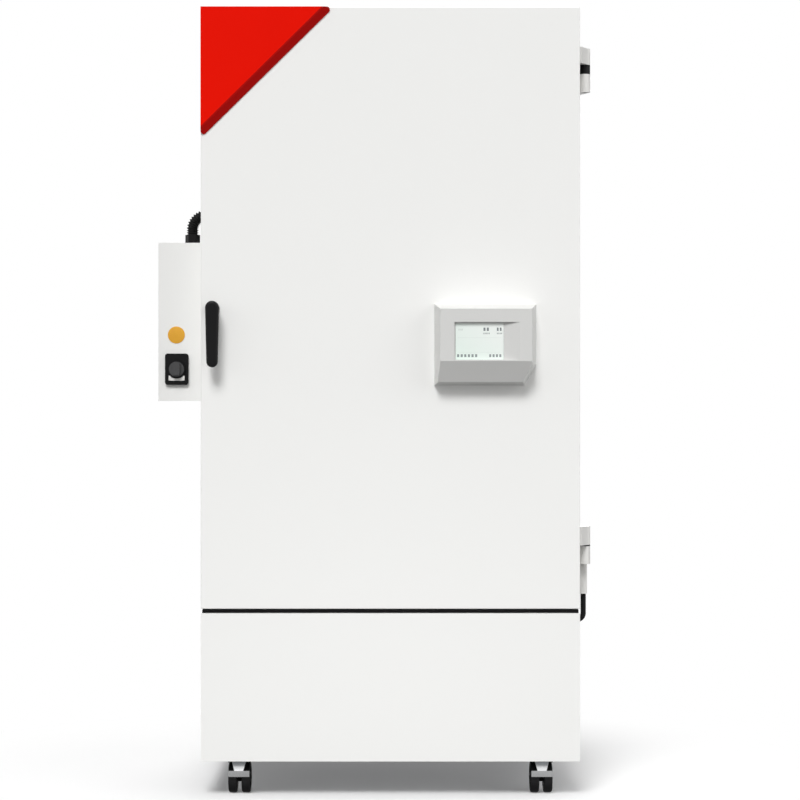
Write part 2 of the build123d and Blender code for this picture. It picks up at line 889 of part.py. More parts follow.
# Door: a pan, its foam, the inner panel and the gasket ring
spindle_hole = spindle_radius + fit_gap
door_top = door_z + door_height
with BuildPart() as door_shell:
    with BuildSketch(front(door_thickness)):
        rectangle(-width / 2, width / 2, door_z, door_top)
    extrude(amount=door_thickness)
    fillet(faces().sort_by(Axis.Y)[0].edges(), sheet)
    with BuildSketch(front(door_thickness)):
        rectangle(-inner_half, inner_half, door_z + sheet, door_top - sheet)
    extrude(amount=door_thickness - sheet, mode=Mode.SUBTRACT)
    with BuildSketch(front(sheet)):
        with Locations((handle_x, handle_z)):
            Circle(spindle_hole)
    extrude(amount=sheet, mode=Mode.SUBTRACT)
save(door_shell, "door_shell")

with BuildPart() as door_insulation:
    with BuildSketch(front(door_thickness - sheet)):
        rectangle(-inner_half, inner_half, door_z + sheet, door_top - sheet)
        with Locations((handle_x, handle_z)):
            Circle(spindle_hole, mode=Mode.SUBTRACT)
    extrude(amount=door_thickness - 2 * sheet)
save(door_insulation, "door_insulation")

with BuildPart() as door_inner_panel:
    with BuildSketch(front(door_thickness)):
        rectangle(-inner_half, inner_half, door_z + sheet, door_top - sheet)
        with Locations((handle_x, handle_z)):
            Circle(spindle_hole, mode=Mode.SUBTRACT)
    extrude(amount=sheet)
save(door_inner_panel, "door_inner_panel")

gasket_margin = 12
gasket_width = 40
gasket_inner_width = room_width + 2 * gasket_margin
gasket_inner_height = room_height + 2 * gasket_margin
with BuildPart() as door_gasket:
    with BuildSketch(front(frame_front - fit_gap)):
        with Locations((0, room_middle)):
            Rectangle(gasket_inner_width + 2 * gasket_width, gasket_inner_height + 2 * gasket_width)
            Rectangle(gasket_inner_width, gasket_inner_height, mode=Mode.SUBTRACT)
    extrude(amount=gasket_gap - fit_gap)
save(door_gasket, "door_gasket")

# Corner trim: a bevelled triangle in the door's upper left corner
with BuildPart() as corner_trim:
    with BuildSketch(front(0)):
        with BuildLine():
            Polyline(
                (-width / 2, door_top),
                (-width / 2 + trim_width, door_top),
                (-width / 2, door_top - trim_height),
                close=True,
            )
        make_face()
        fillet(vertices().sort_by(Axis.X)[-1], trim_tip)
        fillet(vertices().sort_by(Axis.Y)[0], trim_tip)
    extrude(amount=trim_thickness)
    hypotenuse = hypot(trim_width, trim_height)
    across = Plane(
        (cab_x - width / 2 + trim_width, front_y, door_top),
        x_dir=(-trim_height / hypotenuse, 0, trim_width / hypotenuse),
        z_dir=(-trim_width / hypotenuse, 0, -trim_height / hypotenuse),
    )
    with BuildSketch(across):
        with BuildLine():
            Polyline(
                (0, -trim_edge),
                (trim_bevel, -trim_thickness),
                (trim_bevel, -2 * trim_thickness),
                (-trim_bevel, -2 * trim_thickness),
                (-trim_bevel, -trim_edge),
                close=True,
            )
        make_face()
    extrude(amount=hypotenuse, mode=Mode.SUBTRACT)
save(corner_trim, "corner_trim")

# Controller housing: a drafted shell with a sloping chin and a recess for the screen
draft = degrees(atan(controller_edge / controller_depth))
outline_left = controller_left - controller_edge
outline_right = controller_right + controller_edge
outline_top = controller_top + controller_edge
chin_run = controller_depth - chin_depth
chin_drop = chin_z - controller_bottom
chin_length = hypot(chin_run, chin_drop)


def controller_block(inset):
    """The controller's drafted body with its sloping chin, smaller by the inset all round."""
    shift_depth = inset * chin_drop / chin_length
    shift_z = inset * chin_run / chin_length
    with BuildPart() as block:
        with BuildSketch(front(0)):
            with BuildLine():
                Polyline(
                    (outline_left, outline_top),
                    (outline_right, outline_top),
                    (outline_right, controller_bottom + corner_cut_height),
                    (outline_right - corner_cut_width, controller_bottom),
                    (outline_left, controller_bottom),
                    close=True,
                )
            make_face()
            if inset:
                offset(amount=-inset, kind=Kind.INTERSECTION)
        extrude(amount=controller_depth - inset, taper=draft)
        with BuildSketch(side(outline_left)):
            with BuildLine():
                Polyline(
                    (shift_depth - controller_depth - chin_run, chin_z + shift_z + chin_drop),
                    (shift_depth - chin_depth + chin_run, controller_bottom + shift_z - chin_drop),
                    (-2 * controller_depth, controller_bottom - chin_drop),
                    close=True,
                )
            make_face()
        extrude(amount=outline_right - outline_left, mode=Mode.SUBTRACT)
    return block.part


screen_right = screen_left + screen_width
screen_top = screen_bottom + screen_height
recess_floor = -controller_depth + screen_recess
recess_margin = 3
recess_left = screen_left - recess_margin
recess_right = screen_right + recess_margin
recess_top = screen_top + recess_margin
recess_bottom = screen_bottom - fit_gap
with BuildPart() as controller_housing:
    add(controller_block(0))
    add(controller_block(controller_wall), mode=Mode.SUBTRACT)
    with BuildSketch(front(recess_floor + controller_wall)):
        rectangle(
            recess_left - controller_wall,
            recess_right + ramp_length,
            chin_z,
            recess_top + controller_wall,
        )
    extrude(amount=screen_recess + controller_wall)
    with BuildSketch(front(recess_floor)):
        rectangle(recess_left, recess_right, recess_bottom, recess_top)
    with BuildSketch(front(-controller_depth)):
        rectangle(recess_left, recess_right + ramp_length, recess_bottom, recess_top)
    loft(mode=Mode.SUBTRACT)
    with BuildSketch(front(recess_floor + controller_wall)):
        rectangle(
            screen_left - fit_gap,
            screen_right + fit_gap,
            screen_bottom - fit_gap,
            screen_top + fit_gap,
        )
    extrude(amount=controller_wall, mode=Mode.SUBTRACT)
save(controller_housing, "controller_housing")

with BuildPart() as touch_screen:
    with BuildSketch(front(recess_floor + screen_thickness)):
        rectangle(screen_left, screen_right, screen_bottom, screen_top)
    extrude(amount=screen_thickness)
save(touch_screen, "touch_screen")

# Controller board behind the screen, on four posts that stand on the door
board_back = recess_floor + screen_thickness + board_thickness
post_radius = 3
post_inset = 8
with BuildPart() as controller_board:
    with BuildSketch(front(board_back)):
        rectangle(screen_left, screen_right + ramp_length, screen_bottom, screen_top)
    extrude(amount=board_thickness)
    with BuildSketch(front(0)):
        with Locations(((screen_left + screen_right + ramp_length) / 2, (screen_bottom + screen_top) / 2)):
            with GridLocations(screen_width, screen_height - 2 * post_inset, 2, 2):
                Circle(post_radius)
    extrude(amount=-board_back)
save(controller_board, "controller_board")

# Handle: a tapered lever on a neck, and the spindle with its latch cam behind the door
neck_radius = 12
rose_thickness = 6
handle_front_round = 7
handle_back_round = 3
spindle_grip = 20
cam_hub = 9
cam_clearance = 1
with BuildPart() as door_handle:
    with BuildSketch(front(-handle_standoff)):
        with Locations((handle_x, handle_z)):
            Circle(handle_top_radius)
        with Locations((handle_x, handle_z - handle_length)):
            Circle(handle_end_radius)
        make_hull()
    extrude(amount=handle_thickness)
    fillet(faces().sort_by(Axis.Y)[0].edges(), handle_front_round)
    fillet(faces().sort_by(Axis.Y)[-1].edges(), handle_back_round)
    with BuildSketch(front(-fit_gap)):
        with Locations((handle_x, handle_z)):
            Circle(rose_radius)
    extrude(amount=rose_thickness)
    with BuildSketch(front(-fit_gap)):
        with Locations((handle_x, handle_z)):
            Circle(neck_radius)
    extrude(amount=handle_standoff - fit_gap)
    with BuildSketch(front(-fit_gap)):
        with Locations((handle_x, handle_z)):
            Circle(spindle_radius)
    extrude(amount=spindle_grip, mode=Mode.SUBTRACT)
save(door_handle, "door_handle")

cam_back = frame_front - keeper_thickness - cam_clearance
with BuildPart() as latch_cam:
    with BuildSketch(front(cam_back)):
        with Locations((handle_x, handle_z)):
            Circle(cam_hub)
        rectangle(handle_x - cam_length, handle_x, handle_z - cam_height / 2, handle_z + cam_height / 2)
    extrude(amount=cam_thickness)
    with BuildSketch(front(cam_back)):
        with Locations((handle_x, handle_z)):
            Circle(spindle_radius)
    extrude(amount=cam_back + fit_gap + spindle_grip)
save(latch_cam, "latch_cam")

# Keeper on the front frame: a plate with a stop above the cam
keeper_play = 2
keeper_left = handle_x - cam_length + keeper_play
stop_width = 14
stop_bottom = handle_z + cam_height / 2 + cam_clearance
with BuildPart() as latch_keeper:
    with BuildSketch(front(frame_front)):
        rectangle(
            keeper_left,
            handle_x + cam_height,
            handle_z - keeper_height / 2,
            handle_z + keeper_height / 2,
        )
    extrude(amount=keeper_thickness)
    with BuildSketch(front(frame_front)):
        rectangle(keeper_left, keeper_left + stop_width, stop_bottom, handle_z + keeper_height / 2)
    extrude(amount=gasket_gap - cam_clearance)
save(latch_keeper, "latch_keeper")

# Inner glass door: the pane, its hinge clamps and knob, and the lugs and catch on the liner
glass_left = -room_width / 2 + glass_margin
glass_right = glass_axis_x - 2 * glass_knuckle_radius
glass_front = glass_axis_depth - glass_thickness / 2
glass_back = glass_axis_depth + glass_thickness / 2
glass_bottom = room_z + glass_margin
glass_top = room_top - glass_margin
clamp_reach = 30
clamp_thickness = 4
knob_inset = 40
knob_x = glass_left + knob_inset
glass_knob_radius = 11
glass_knob_length = 10
glass_hinge_levels = (glass_bottom + glass_hinge_inset, glass_top - glass_hinge_inset)
with BuildPart() as glass_door:
    with BuildSketch(front(glass_back)):
        rectangle(glass_left, glass_right, glass_bottom, glass_top)
    extrude(amount=glass_thickness)
save(glass_door, "glass_door")

with BuildPart() as glass_door_fittings:
    for hinge_z in glass_hinge_levels:
        with BuildSketch(level(hinge_z - glass_hinge_height / 2)):
            rectangle(
                glass_right - clamp_reach,
                glass_axis_x,
                glass_front - clamp_thickness,
                glass_back + clamp_thickness,
            )
            with Locations((glass_axis_x, glass_axis_depth)):
                Circle(glass_thickness / 2 + clamp_thickness)
            rectangle(glass_right - clamp_reach, glass_right, glass_front, glass_back, mode=Mode.SUBTRACT)
            with Locations((glass_axis_x, glass_axis_depth)):
                Circle(glass_pin_radius + running_gap, mode=Mode.SUBTRACT)
        extrude(amount=glass_hinge_height)
    with BuildSketch(front(glass_front)):
        with Locations((knob_x, room_middle)):
            Circle(glass_knob_radius)
    extrude(amount=glass_knob_length)
save(glass_door_fittings, "glass_door_fittings")

catch_size = 30
with BuildPart() as inner_door_mounts:
    for hinge_z in glass_hinge_levels:
        for lug_z in (
            hinge_z - glass_hinge_height / 2 - fit_gap - lug_height,
            hinge_z + glass_hinge_height / 2 + fit_gap,
        ):
            with BuildSketch(level(lug_z)):
                rectangle(glass_axis_x, room_width / 2, shell_front, glass_axis_depth + glass_knuckle_radius)
                with Locations((glass_axis_x, glass_axis_depth)):
                    Circle(glass_knuckle_radius)
            extrude(amount=lug_height)
        with BuildSketch(level(hinge_z - glass_hinge_height / 2 - fit_gap - lug_height)):
            with Locations((glass_axis_x, glass_axis_depth)):
                Circle(glass_pin_radius)
        extrude(amount=glass_hinge_height + 2 * fit_gap + 2 * lug_height)
    with BuildSketch(front(glass_back + fit_gap + catch_size / 2)):
        rectangle(
            -room_width / 2,
            glass_left + catch_size / 2,
            room_middle - catch_size,
            room_middle + catch_size,
        )
    extrude(amount=catch_size / 2)
save(inner_door_mounts, "inner_door_mounts")

# Shelves: wire racks on the runners
wire_pitch = 25
wire_width = 4
cross_wires = 2
for name, height in shelf_heights.items():
    with BuildPart() as shelf:
        with BuildSketch(level(room_z + height)):
            rectangle(-shelf_width / 2, shelf_width / 2, shelf_front, shelf_front + shelf_depth)
            rectangle(
                -shelf_width / 2 + shelf_bar,
                shelf_width / 2 - shelf_bar,
                shelf_front + shelf_bar,
                shelf_front + shelf_depth - shelf_bar,
                mode=Mode.SUBTRACT,
            )
            with Locations((0, shelf_front + shelf_depth / 2)):
                with GridLocations(wire_pitch, 0, int(shelf_width / wire_pitch) - 1, 1):
                    Rectangle(wire_width, shelf_depth - shelf_bar)
                with GridLocations(0, shelf_depth / (cross_wires + 1), 1, cross_wires):
                    Rectangle(shelf_width - shelf_bar, wire_width)
        extrude(amount=shelf_bar)
    save(shelf, name)

# Access port: a flanged tube through wall, foam and liner, with its stopper
with BuildPart() as access_port:
    with BuildSketch(side(-width / 2)):
        with Locations((port_depth, room_middle)):
            Circle(port_flange)
    extrude(amount=-port_flange_thickness)
    with BuildSketch(side(-width / 2)):
        with Locations((port_depth, room_middle)):
            Circle(port_outer)
    extrude(amount=port_length)
    with BuildSketch(side(-room_width / 2)):
        with Locations((port_depth, room_middle)):
            Circle(port_inner_flange)
    extrude(amount=port_inner_thickness)
    with BuildSketch(side(-width / 2 - port_flange_thickness)):
        with Locations((port_depth, room_middle)):
            Circle(port_radius)
    extrude(amount=port_flange_thickness + port_length + port_inner_thickness, mode=Mode.SUBTRACT)
save(access_port, "access_port")

plug_x = -width / 2 - port_flange_thickness - fit_gap
with BuildPart() as port_plug:
    with BuildSketch(side(plug_x)):
        with Locations((port_depth, room_middle)):
            Circle(plug_cap_radius)
    extrude(amount=-plug_cap_thickness)
    with BuildSketch(side(plug_x)):
        with Locations((port_depth, room_middle)):
            Circle(port_radius - plug_clearance)
    extrude(amount=plug_length)
save(port_plug, "port_plug")

# Door cable: out of its cover below the lower hinge and into the cabinet's side
cable_x = width / 2 + cable_out
with BuildPart() as door_cable:
    with BuildLine() as cable_path:
        FilletPolyline(
            (cab_x + cable_x, front_y + cable_depth, cable_top_z),
            (cab_x + cable_x, front_y + cable_depth, cable_wall_z),
            (cab_x + inner_half, front_y + cable_depth, cable_wall_z),
            radius=cable_bend,
        )
    with BuildSketch(Plane(cable_path.line @ 0, z_dir=cable_path.line % 0)):
        Circle(cable_radius)
    sweep(path=cable_path.line)
save(door_cable, "door_cable")

cover_depth = 28
cover_out = 24.5
cover_round = 6
cover_top = hinges[1][0] - hinges[1][1]
with BuildPart() as cable_cover:
    with BuildSketch(level(cable_top_z)):
        rectangle(
            width / 2,
            width / 2 + cover_out,
            cable_depth - cover_depth / 2,
            cable_depth + cover_depth / 2,
        )
        fillet(vertices().sort_by(Axis.X)[-2:], cover_round)
    extrude(amount=cover_top - cable_top_z)
save(cable_cover, "cable_cover")

# Castors: a mount on the chassis, a hood that swivels, a pair of wheels and, in front, a brake
plate_bottom = base_z - plate_thickness
hood_top = plate_bottom - fit_gap
hood_bottom = hood_top - hood_thickness
hood_corner = 12
hood_trail = 16
web_play = 1.6
web_width = wheel_gap - web_play
web_length = 52
web_trail = 12
web_overlap = 4
axle_boss = 11
kingpin_drop = 16
kingpin_end = hood_bottom - kingpin_drop
axle_end = 2
axle_half = wheel_gap / 2 + wheel_width + axle_end

# Brake pedals on the front castors, measured outwards from the swivel axis
pedal_arm = 54
pedal_rise = 3.5
pedal_z = hood_bottom + pedal_rise
pedal_pin_radius = 2
pedal_boss = 4
pedal_cheek = 3.5
pedal_lug_width = 16
pedal_thickness = 3
pedal_top = (59, pedal_z + 1)
pedal_knee = (66, 60)
pedal_end = (65, 45)
arm_top_width = 34
arm_knee_width = 22
lip_width = 52
cheek_end = (60.5, pedal_z - 1)
cheek_round = 1.5

castors = {
    # side, depth of the swivel axis, which way the wheels trail
    "front_left": (-1, castor_inset, -1),
    "front_right": (1, castor_inset, -1),
    "rear_left": (-1, depth - castor_inset, 1),
    "rear_right": (1, depth - castor_inset, 1),
}

with BuildPart() as castor_mounts:
    for hand, axis_depth, trail in castors.values():
        with BuildSketch(level(plate_bottom)):
            with Locations((hand * castor_x, axis_depth)):
                Rectangle(plate_size, plate_size)
        extrude(amount=plate_thickness)
        with BuildSketch(level(plate_bottom)):
            with Locations((hand * castor_x, axis_depth)):
                Circle(kingpin_radius)
        extrude(amount=kingpin_end - plate_bottom)
save(castor_mounts, "castor_mounts")

for corner, (hand, axis_depth, trail) in castors.items():
    middle = hand * castor_x
    axle_depth = axis_depth + trail * wheel_trail
    with BuildPart() as castor_housing:
        with BuildSketch(level(hood_bottom)):
            with Locations((middle, axis_depth + trail * hood_trail)):
                RectangleRounded(hood_width, hood_length, hood_corner)
        extrude(amount=hood_thickness)
        with BuildSketch(side(middle - web_width / 2)):
            with Locations((axle_depth, wheel_radius)):
                Circle(axle_boss)
            with Locations((axis_depth + trail * web_trail, hood_bottom)):
                Rectangle(web_length, 2 * web_overlap)
            make_hull()
        extrude(amount=web_width)
        with BuildSketch(side(middle - axle_half)):
            with Locations((axle_depth, wheel_radius)):
                Circle(axle_radius)
        extrude(amount=2 * axle_half)
        if trail < 0:
            with BuildSketch(side(middle - pedal_lug_width / 2)):
                with Locations((axis_depth + trail * pedal_arm, pedal_z)):
                    Circle(pedal_boss)
                with Locations((axis_depth + trail * (hood_trail + hood_length / 2), pedal_z)):
                    Rectangle(2 * pedal_boss, hood_thickness)
                make_hull()
            extrude(amount=pedal_lug_width)
            with BuildSketch(side(middle - pedal_lug_width / 2)):
                with Locations((axis_depth + trail * pedal_arm, pedal_z)):
                    Circle(pedal_pin_radius + running_gap)
            extrude(amount=pedal_lug_width, mode=Mode.SUBTRACT)
        with BuildSketch(level(hood_top)):
            with Locations((middle, axis_depth)):
                Circle(kingpin_radius + running_gap)
        extrude(amount=kingpin_end - hood_top - 1, mode=Mode.SUBTRACT)
    save(castor_housing, f"castor_housing_{corner}")

    with BuildPart() as castor_wheels:
        for inner in (middle - wheel_gap / 2 - wheel_width, middle + wheel_gap / 2):
            with BuildSketch(side(inner)):
                with Locations((axle_depth, wheel_radius)):
                    Circle(wheel_radius)
                    Circle(axle_radius + running_gap, mode=Mode.SUBTRACT)
            extrude(amount=wheel_width)
        rims = edges().filter_by(lambda e: e.geom_type == GeomType.CIRCLE and e.radius > wheel_radius - 1)
        chamfer(rims, wheel_chamfer)
    save(castor_wheels, f"castor_wheels_{corner}")

    if trail < 0:
        with BuildPart() as brake_pedal:
            with BuildSketch(side(middle - lip_width / 2)):
                with BuildLine():
                    Polyline(
                        (axis_depth + trail * pedal_knee[0], pedal_knee[1]),
                        (axis_depth + trail * (pedal_knee[0] + pedal_thickness), pedal_knee[1]),
                        (axis_depth + trail * (pedal_end[0] + pedal_thickness), pedal_end[1]),
                        (axis_depth + trail * pedal_end[0], pedal_end[1]),
                        close=True,
                    )
                make_face()
            extrude(amount=lip_width)
            for arm_width, (at_depth, at_z) in ((arm_top_width, pedal_top), (arm_knee_width, pedal_knee)):
                with BuildSketch(level(at_z)):
                    with Locations((middle, axis_depth + trail * (at_depth + pedal_thickness / 2))):
                        Rectangle(arm_width, pedal_thickness)
            loft()
            lug_side = pedal_lug_width / 2 + fit_gap
            for cheek in (middle - lug_side - pedal_cheek, middle + lug_side):
                with BuildSketch(side(cheek)):
                    with Locations((axis_depth + trail * pedal_arm, pedal_z)):
                        Circle(pedal_boss)
                    with Locations((axis_depth + trail * cheek_end[0], cheek_end[1])):
                        Circle(cheek_round)
                    make_hull()
                extrude(amount=pedal_cheek)
            with BuildSketch(side(middle - pedal_lug_width / 2 - pedal_cheek)):
                with Locations((axis_depth + trail * pedal_arm, pedal_z)):
                    Circle(pedal_pin_radius)
            extrude(amount=pedal_lug_width + 2 * pedal_cheek)
        save(brake_pedal, f"brake_pedal_{corner}")
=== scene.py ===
# %% [markdown]
# # An environmental test chamber
#
# A tall laboratory cabinet that keeps samples warm or cold. The solid model gives every panel,
# hinge, wheel and shaft at its real size, and this lesson dresses it: it gives each surface its
# finish and adds the fine parts that a solid model leaves plain, such as the ribs of a conduit,
# the wires of a shelf and the lobes of a door seal.
#
# Everything is in metres. The door faces -Y, the hinges are towards +X, and the floor is z = 0.

# %% Load the frame
import json
from math import pi, radians

import bpy
import numpy as np
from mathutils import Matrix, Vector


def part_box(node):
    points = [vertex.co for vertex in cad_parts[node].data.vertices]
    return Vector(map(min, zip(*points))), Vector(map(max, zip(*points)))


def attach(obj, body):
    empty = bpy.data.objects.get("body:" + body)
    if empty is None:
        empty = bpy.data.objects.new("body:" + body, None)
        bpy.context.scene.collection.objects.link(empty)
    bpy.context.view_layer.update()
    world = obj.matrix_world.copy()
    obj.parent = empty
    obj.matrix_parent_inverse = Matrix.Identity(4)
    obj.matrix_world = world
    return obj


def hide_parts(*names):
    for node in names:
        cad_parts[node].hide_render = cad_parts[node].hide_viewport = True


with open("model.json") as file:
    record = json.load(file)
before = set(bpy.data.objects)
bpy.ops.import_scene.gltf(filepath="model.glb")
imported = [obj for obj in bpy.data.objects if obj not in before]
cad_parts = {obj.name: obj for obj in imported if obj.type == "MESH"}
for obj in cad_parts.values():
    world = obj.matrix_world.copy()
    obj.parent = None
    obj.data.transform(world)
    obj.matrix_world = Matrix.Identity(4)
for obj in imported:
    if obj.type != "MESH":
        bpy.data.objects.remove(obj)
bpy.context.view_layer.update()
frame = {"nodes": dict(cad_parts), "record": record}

nodes = frame["nodes"]

# %% [markdown]
# ## Landmarks
#
# New parts are placed by the boxes of the solids that carry them, so that nothing has to be
# fitted afterwards. The door's box gives the middle of the cabinet and the plane that the
# photograph shows nearest to the lens.

# %% Landmarks
door_low, door_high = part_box("door_shell")
middle_x = (door_low.x + door_high.x) / 2
front_y = door_low.y
print("cabinet's middle", round(middle_x, 4), "door's face", round(front_y, 4))

# %% [markdown]
# ## Camera
#
# The photograph is a catalogue view taken straight on with a long lens: the sides of the cabinet
# are hidden and vertical lines stay vertical. A level camera keeps them so. The distance comes
# from how much smaller the castors look than the door's edge, and a small sideways shift puts the
# cabinet a little left of the frame's middle, as it is there.

# %% Camera
camera_distance = 5.5
camera_height = 0.9696
shown_width = 1.951
sideways_shift = 0.012
camera_data = bpy.data.cameras.new("camera")
camera_data.sensor_width = 36
camera_data.lens = camera_data.sensor_width * camera_distance / shown_width
camera_data.shift_x = sideways_shift
camera = bpy.data.objects.new("camera", camera_data)
bpy.context.scene.collection.objects.link(camera)
camera.location = (middle_x, front_y - camera_distance, camera_height)
camera.rotation_euler = (pi / 2, 0, 0)
bpy.context.scene.camera = camera
print("lens", round(camera_data.lens, 1), "mm")

# %% [markdown]
# ## Light
#
# The catalogue view is lit evenly from top to bottom, so its lamps are far away compared with the
# cabinet. Area lamps close by would light one end of it more than the other. Sun lamps don't: their
# light is parallel, and the width of a lamp's disc softens the shadows as a soft box would. The key
# comes from high in front and a little from the left, one lamp stands overhead, one lights the back,
# and a weaker one on each side shapes the handle, the hinges and the housing.
#
# The background is pure white. More light would bleach the white cabinet, so only the rays that
# reach the camera, a mirror or glass see a bright world.

# %% Lamps
from mathutils import Vector


def far_lamp(name, azimuth, elevation, disc, strength):
    """A lamp far away. Azimuth 0 is straight in front and grows to the right, and the lamp stands at
    (sin a cos e, -cos a cos e, sin e) from the cabinet. All angles are in degrees."""
    data = bpy.data.lights.new(name, "SUN")
    data.angle = radians(disc)
    data.energy = strength
    lamp = bpy.data.objects.new(name, data)
    a, e = radians(azimuth), radians(elevation)
    towards = Vector((np.sin(a) * np.cos(e), -np.cos(a) * np.cos(e), np.sin(e)))
    lamp.rotation_euler = towards.to_track_quat("Z", "Y").to_euler()
    bpy.context.scene.collection.objects.link(lamp)


far_lamp("key_lamp", azimuth=-12, elevation=47, disc=22, strength=2.38)
far_lamp("top_lamp", azimuth=0, elevation=84, disc=40, strength=0.2)
far_lamp("right_lamp", azimuth=60, elevation=20, disc=50, strength=1.0)
far_lamp("left_lamp", azimuth=-60, elevation=20, disc=50, strength=0.45)
far_lamp("back_lamp", azimuth=170, elevation=20, disc=40, strength=1.3)

# %% Low soft box
# A weak soft box close to the floor brightens the base panel downwards and reaches the castors. It
# stands within sight of the other views, so the camera doesn't see it.
low_box_size, low_box_watts = 0.9, 1.3
low_box_distance, low_box_height = 1.1, 0.05
low_light = bpy.data.lights.new("low_box", "AREA")
low_light.size = low_box_size
low_light.energy = low_box_watts
low_box = bpy.data.objects.new("low_box", low_light)
low_box.location = (middle_x, front_y - low_box_distance, low_box_height)
low_box.rotation_euler = (pi / 2, 0, 0)
low_box.visible_camera = False
bpy.context.scene.collection.objects.link(low_box)
print("low box", low_box_watts, "W at", low_box_distance, "m")

# %% World
ambient_strength, seen_strength = 0.18, 1.0
world = bpy.data.worlds.new("studio")
bpy.context.scene.world = world
world.use_nodes = True
sky = world.node_tree
ambient = sky.nodes["Background"]
ambient.inputs["Color"].default_value = (1, 1, 1, 1)
ambient.inputs["Strength"].default_value = ambient_strength
seen_sky = sky.nodes.new("ShaderNodeBackground")
seen_sky.inputs["Color"].default_value = (1, 1, 1, 1)
seen_sky.inputs["Strength"].default_value = seen_strength
path = sky.nodes.new("ShaderNodeLightPath")
# Each kind of ray gives 0 or 1, so the largest of the three is 1 where the bright world is seen.
seen = None
for ray in ("Is Glossy Ray", "Is Transmission Ray"):
    either = sky.nodes.new("ShaderNodeMath")
    either.operation = "MAXIMUM"
    sky.links.new(seen or path.outputs["Is Camera Ray"], either.inputs[0])
    sky.links.new(path.outputs[ray], either.inputs[1])
    seen = either.outputs[0]
choose = sky.nodes.new("ShaderNodeMixShader")
sky.links.new(seen, choose.inputs[0])
sky.links.new(ambient.outputs[0], choose.inputs[1])
sky.links.new(seen_sky.outputs[0], choose.inputs[2])
sky.links.new(choose.outputs[0], sky.nodes["World Output"].inputs[0])
bpy.context.scene.view_settings.view_transform = "Standard"
print("world strength", ambient_strength, "and", seen_strength, "where it is seen")

# %% [markdown]
# ## Values that change over a surface
#
# Real finishes are never one flat number: powder coat has a faint orange peel, brushed steel has
# streaks, a moulding has a grain. Such patterns are sums and products of noise, and written as
# ordinary arithmetic they are easy to read. A small class wraps a shader socket and turns each
# operator into the Math node that works it out.

# %% Shader arithmetic
class Signal:
    """A number or colour that changes over a surface. Arithmetic on it adds Math nodes."""

    def __init__(self, finish, socket):
        self.finish = finish
        self.socket = socket

    def math(self, operation, first, second):
        """One Math node with that operation on the two values."""
        return self.finish.node("ShaderNodeMath", {"operation": operation}, {0: first, 1: second})

    def __add__(self, other):
        return self.math("ADD", self, other)

    __radd__ = __add__

    def __sub__(self, other):
        return self.math("SUBTRACT", self, other)

    def __rsub__(self, other):
        return self.math("SUBTRACT", other, self)

    def __mul__(self, other):
        return self.math("MULTIPLY", self, other)

    __rmul__ = __mul__

    def __mod__(self, other):
        return self.math("FLOORED_MODULO", self, other)

    def __gt__(self, other):
        return self.math("GREATER_THAN", self, other)

    def __lt__(self, other):
        return self.math("LESS_THAN", self, other)


print("operators", "+ - * % > <")

# %% [markdown]
# ## A finish
#
# A finish is one material on the Principled shader. What is the same all over goes straight onto
# the shader's sockets. What changes is made by one method, node(), which takes a node's type, its
# settings and its sockets' values, so that a pattern reads as a line of Python.

# %% Colour helper
def paint(red, green, blue):
    """A colour as an image shows it, 0 to 255, turned into light by the standard curve: a straight
    line near black, and above it a power of 2.4."""
    shown = np.array([red, green, blue]) / 255
    light = np.where(shown <= 0.04045, shown / 12.92, ((shown + 0.055) / 1.055) ** 2.4)
    return (*light.tolist(), 1.0)


def scaled(colour, factor):
    """The same colour with that many times its light, and never more than full light."""
    return (*(min(1.0, value * factor) for value in colour[:3]), 1.0)


print("door's white", [round(v, 3) for v in paint(240, 240, 238)])


# %% Finish
class Finish:
    """A material, and the nodes that vary its colour, roughness and relief."""

    def __init__(self, name, constants):
        self.material = bpy.data.materials.new(name)
        self.material.use_nodes = True
        self.tree = self.material.node_tree
        self.shader = self.tree.nodes["Principled BSDF"]
        for socket, value in constants.items():
            self.shader.inputs[socket].default_value = value

    def node(self, kind, settings, sockets, output=0):
        """A node of that type, with its settings, then the values or links of its sockets."""
        made = self.tree.nodes.new(kind)
        for key, value in settings.items():
            setattr(made, key, value)
        for key, value in sockets.items():
            if isinstance(value, Signal):
                self.tree.links.new(value.socket, made.inputs[key])
            else:
                made.inputs[key].default_value = value
        return Signal(self, made.outputs[output])

    def feed(self, socket, signal):
        """Lets the signal drive one of the shader's sockets."""
        self.tree.links.new(signal.socket, self.shader.inputs[socket])

    def spot(self):
        """The point's place on the object, in metres, as one vector."""
        return self.node("ShaderNodeTexCoord", {}, {}, output="Object")

    def place(self):
        """The point's place on the object, in metres, as x, y and z."""
        split = self.node("ShaderNodeSeparateXYZ", {}, {0: self.spot()})
        return [Signal(self, axis) for axis in split.socket.node.outputs]

    def noise(self, size, stretch=(1, 1, 1), detail=2):
        """Noise from 0 to 1 whose grains are about that size in metres, longer along a stretched axis."""
        grains = [1 / (size * s) for s in stretch]
        spot = self.node("ShaderNodeMapping", {}, {"Vector": self.spot(), "Scale": grains})
        return self.node("ShaderNodeTexNoise", {}, {"Vector": spot, "Scale": 1.0, "Detail": detail})

    def tint(self, amount, low, high):
        """A colour that goes from low to high as amount goes from 0 to 1. Sockets 6 and 7 of the Mix
        node are its two colours, and its output 2 is the mixed one."""
        return self.node("ShaderNodeMix", {"data_type": "RGBA"}, {0: amount, 6: low, 7: high}, output=2)

    def relief(self, height, depth, strength=1.0):
        """Small bumps of about that depth in metres where height is from 0 to 1."""
        bump = self.node("ShaderNodeBump", {}, {"Height": height, "Distance": depth, "Strength": strength})
        self.feed("Normal", bump)


finishes = {}


def dress(slot_name, finish):
    """Keeps the finish under its slot's name."""
    finishes[slot_name] = finish


print("finish", sorted(name for name in vars(Finish) if not name.startswith("_")))

